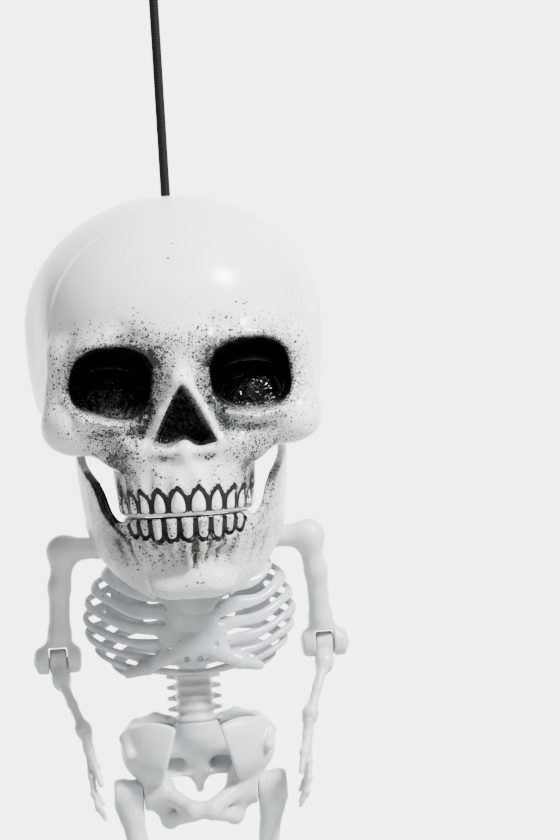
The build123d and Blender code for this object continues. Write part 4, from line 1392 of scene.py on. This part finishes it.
# -------------------------------------------------------------------------- cord
CORD_RADIUS = 2.0
LOOP_RADIUS = 9.0            # the loop's round top, to the cord's middle
LOOP_FOOT = 2.4              # each leg's distance from the middle at the knot
KNOT_STRAND = 1.75           # radius of the tightened cord in a knot


def strand_tube(name, path, radius, strands=8, lay=9.0, depth=0.32, sides=40, rise=0.22):
    """A braided cord's skin along a path: two crossing sets of strands in relief.

    A strand goes once round in lay mm, and the rings are rise mm apart.
    """
    path = np.asarray(path, float)
    steps = np.linalg.norm(np.diff(path, axis=0), axis=1)
    way = np.concatenate(((0,), np.cumsum(steps)))
    count = max(int(way[-1] / rise), 8)
    at = np.linspace(0, way[-1], count)
    centre = np.stack([np.interp(at, way, path[:, k]) for k in range(3)], 1)
    tangent = np.gradient(centre, axis=0)
    tangent /= np.linalg.norm(tangent, axis=1)[:, None]
    one = np.zeros_like(tangent)
    side = np.array((0.0, 1.0, 0.0))
    for i, t in enumerate(tangent):
        side = side - t * (side @ t)
        side /= np.linalg.norm(side)
        one[i] = side
    two = np.cross(tangent, one)
    angle = np.arange(sides) * 2 * math.pi / sides
    turnover = at[:, None] / lay * 2 * math.pi
    half = strands / 2
    a = np.cos((angle + turnover) * half)
    b = np.cos((angle - turnover) * half)
    over = np.maximum(np.sqrt(np.abs(a)) * 0.5 + 0.5 * np.sign(a * b), np.sqrt(np.abs(b)) * 0.6)
    high = radius - depth + depth * np.clip(over, 0, 1)
    ends = np.minimum(at, way[-1] - at)
    high = high * (0.35 + 0.65 * smooth_step(0, 0.5, ends))[:, None]
    ring = centre[:, None] + high[..., None] * (
        np.cos(angle)[None, :, None] * one[:, None] + np.sin(angle)[None, :, None] * two[:, None])
    points = np.concatenate((ring.reshape(-1, 3), centre[:1], centre[-1:]))
    first, last, base = len(points) - 2, len(points) - 1, (count - 1) * sides

    def close_ends(bm):
        bm.verts.ensure_lookup_table()
        caps = [(first, (m + 1) % sides, m) for m in range(sides)]
        caps += [(last, base + m, base + (m + 1) % sides) for m in range(sides)]
        for corners in caps:
            bm.faces.new([bm.verts[v] for v in corners]).smooth = True

    piece = new_piece(name, points, ring_quads(count, sides))
    reshape(piece, close_ends)
    return piece


def route_points(route):
    """Points of the route's smooth line, read from its NURBS spline."""
    curve = bpy.data.curves.new("route", "CURVE")
    curve.dimensions = "3D"
    curve.resolution_u = 24
    spline = curve.splines.new("NURBS")
    spline.points.add(len(route) - 1)
    for point, (x, y, z) in zip(spline.points, route):
        point.co = (x * MM, y * MM, (z + CROWN) * MM, 1)
    spline.order_u = 3
    spline.use_endpoint_u = True
    holder = placed("route", curve)
    mesh = bpy.data.meshes.new_from_object(holder)
    points = np.array([v.co[:] for v in mesh.vertices]) / MM
    points[:, 2] -= CROWN
    bpy.data.objects.remove(holder)
    bpy.data.curves.remove(curve)
    bpy.data.meshes.remove(mesh)
    return points


def make_knot(name, node, turns):
    """The cord wound round itself in a barrel that fills its CAD node."""
    low, high = node_box(node)
    share = np.linspace(0, 1, 90)
    angle = share * turns * 2 * math.pi
    bottom, top = low[2] + KNOT_STRAND, high[2] - KNOT_STRAND
    across = ((high[0] - low[0]) / 2 - KNOT_STRAND) * (1 - 0.12 * np.abs(2 * share - 1) ** 2)
    rise = np.clip(bottom + (top - bottom) * share + 0.5 * np.sin(angle), bottom, top)
    coil = np.stack((across * np.cos(angle), across * np.sin(angle), rise), 1)
    start, end = [(0, 0, bottom), (0.8, 0, bottom)], [(0.4, 0, top), (0, 0, top)]
    knot = strand_tube(name, np.concatenate((start, coil, end)), KNOT_STRAND)
    settle(knot, "head", node, "black_cord")
    return knot


def make_cord():
    """The taut cord from its knot inside the skull up to the loop's knot."""
    low, high = node_box("hanging_cord")
    line = route_points([(0, 0, low[2]), (0, 0, 0), (0, 0, high[2])])
    cord = strand_tube("black_cord", line, CORD_RADIUS)
    settle(cord, "head", "hanging_cord", "black_cord")
    round_z = node_box("cord_loop")[1][2] - LOOP_RADIUS - CORD_RADIUS
    corner = LOOP_RADIUS * math.tan(math.pi / 8)
    one_side = [(-LOOP_FOOT, high[2] + 5), (-LOOP_FOOT, high[2] + 9),
                (-LOOP_RADIUS, round_z - corner), (-LOOP_RADIUS, round_z + corner),
                (-corner, round_z + LOOP_RADIUS)]
    eye = [(x, 0, z) for x, z in one_side] + [(-x, 0, z) for x, z in reversed(one_side)]
    loop = strand_tube("hanging_loop", route_points(eye), CORD_RADIUS)
    settle(loop, "head", "cord_loop", "black_cord")
    knots = [make_knot("loop_tie", "loop_knot", 2.4), make_knot("stop_knot", "cord_knot", 2.1)]


# ------------------------------------------------------------------------ camera
CAMERA_AWAY = 1.15                  # metres in front of the skull's face
LOOK_FROM = math.radians(-1.5)      # a little from the figure's right
CAMERA_ROLL = math.radians(-3.5)
PICTURE_TALL = 0.34426              # metres seen from top to bottom at the face
FACE_LEFT, FACE_UP = 0.04119, 0.01885       # metres from the picture's middle to the face
SENSOR = 36                         # spans the picture's long side


def make_camera():
    """Looks straight at the face, which sits left of and above the middle."""
    face = Vector((0.0, 0.0, (CROWN + EYE[2]) * MM))
    side = Matrix.Rotation(LOOK_FROM, 3, "Z")
    data = bpy.data.cameras.new("camera")
    data.sensor_width = SENSOR
    data.lens = SENSOR * CAMERA_AWAY / PICTURE_TALL
    camera = placed("camera", data)
    camera.location = face + side @ Vector((0.0, -CAMERA_AWAY, 0.0))
    target = face + side @ Vector((FACE_LEFT, 0, -FACE_UP))
    aim = (target - camera.location).to_track_quat("-Z", "Y")
    camera.rotation_euler = aim.to_euler()
    camera.rotation_euler.rotate_axis("Z", CAMERA_ROLL)
    bpy.context.scene.camera = camera


LIT_POINT = Vector((0, 0, -0.24))


def lamp(name, place, size, power, colour):
    """A round soft lamp that shines at the figure's middle."""
    data = bpy.data.lights.new(name, "AREA")
    data.shape, data.size, data.energy = "DISK", size, power
    data.color = colour
    light = placed(name, data)
    light.location = place
    light.rotation_euler = (LIT_POINT - light.location).to_track_quat("-Z", "Y").to_euler()


STAGE_HALF = 5.0             # metres to each side
WALL_FOOT, WALL_BEND = 0.6, 3.2     # where the glowing sheet starts, and where it rises


def sweep(name, outline, colour, glow):
    """A bent sheet across the scene, lit from inside by the given glow."""
    bm = bmesh.new()
    rows = [[bm.verts.new((x, y, z)) for x in (-STAGE_HALF, STAGE_HALF)] for y, z in outline]
    for a, b in zip(rows[:-1], rows[1:]):
        bm.faces.new((a[0], a[1], b[1], b[0])).smooth = True
    mesh = bpy.data.meshes.new(name)
    bm.to_mesh(mesh)
    bm.free()
    n = Nodes(name)
    n.set(Base_Color=colour, Roughness=0.9, Emission_Color=(1, 1, 1, 1), Emission_Strength=glow)
    mesh.materials.append(n.material)
    placed(name, mesh)


def make_studio():
    """A pale floor, a glowing sweep far behind, a key, a front and a fill lamp."""
    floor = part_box("foot_left")[0].z - 0.06
    bend = [math.pi / 2 * i / 10 for i in range(11)]
    rise = [(WALL_BEND + math.sin(a), floor + 1 - math.cos(a)) for a in bend]
    sweep("floor", [(-4.0, floor), (WALL_FOOT, floor)], (0.43, 0.425, 0.415, 1), 0.0)
    wall = [(WALL_FOOT, floor)] + rise + [(WALL_BEND + 1, floor + 5.0)]
    sweep("wall", wall, (0.93, 0.93, 0.93, 1), 3.4)
    world = bpy.data.worlds.new("studio")
    world.use_nodes = True
    colour, strength = world.node_tree.nodes["Background"].inputs[:2]
    colour.default_value, strength.default_value = (0.93, 0.96, 1.0, 1), 0.16
    bpy.context.scene.world = world
    lamp("key", (1.0, -0.95, 0.95), 0.40, 150, (0.92, 0.97, 1.0))
    lamp("front", (0.3, -1.3, 1.0), 0.5, 9, (0.96, 0.98, 1.0))
    lamp("fill", (-1.2, -0.8, 0.1), 0.5, 1.8, (1.0, 0.97, 0.92))


for make in (make_camera, make_cord, make_studio, make_cranium, make_base, make_jaw, make_neck,
             make_ribs_front, make_ribs_back, make_lumbar, make_pelvis, make_upper_arm,
             make_forearm, make_hand, make_thigh, make_shin, make_foot, make_pins):
    make()
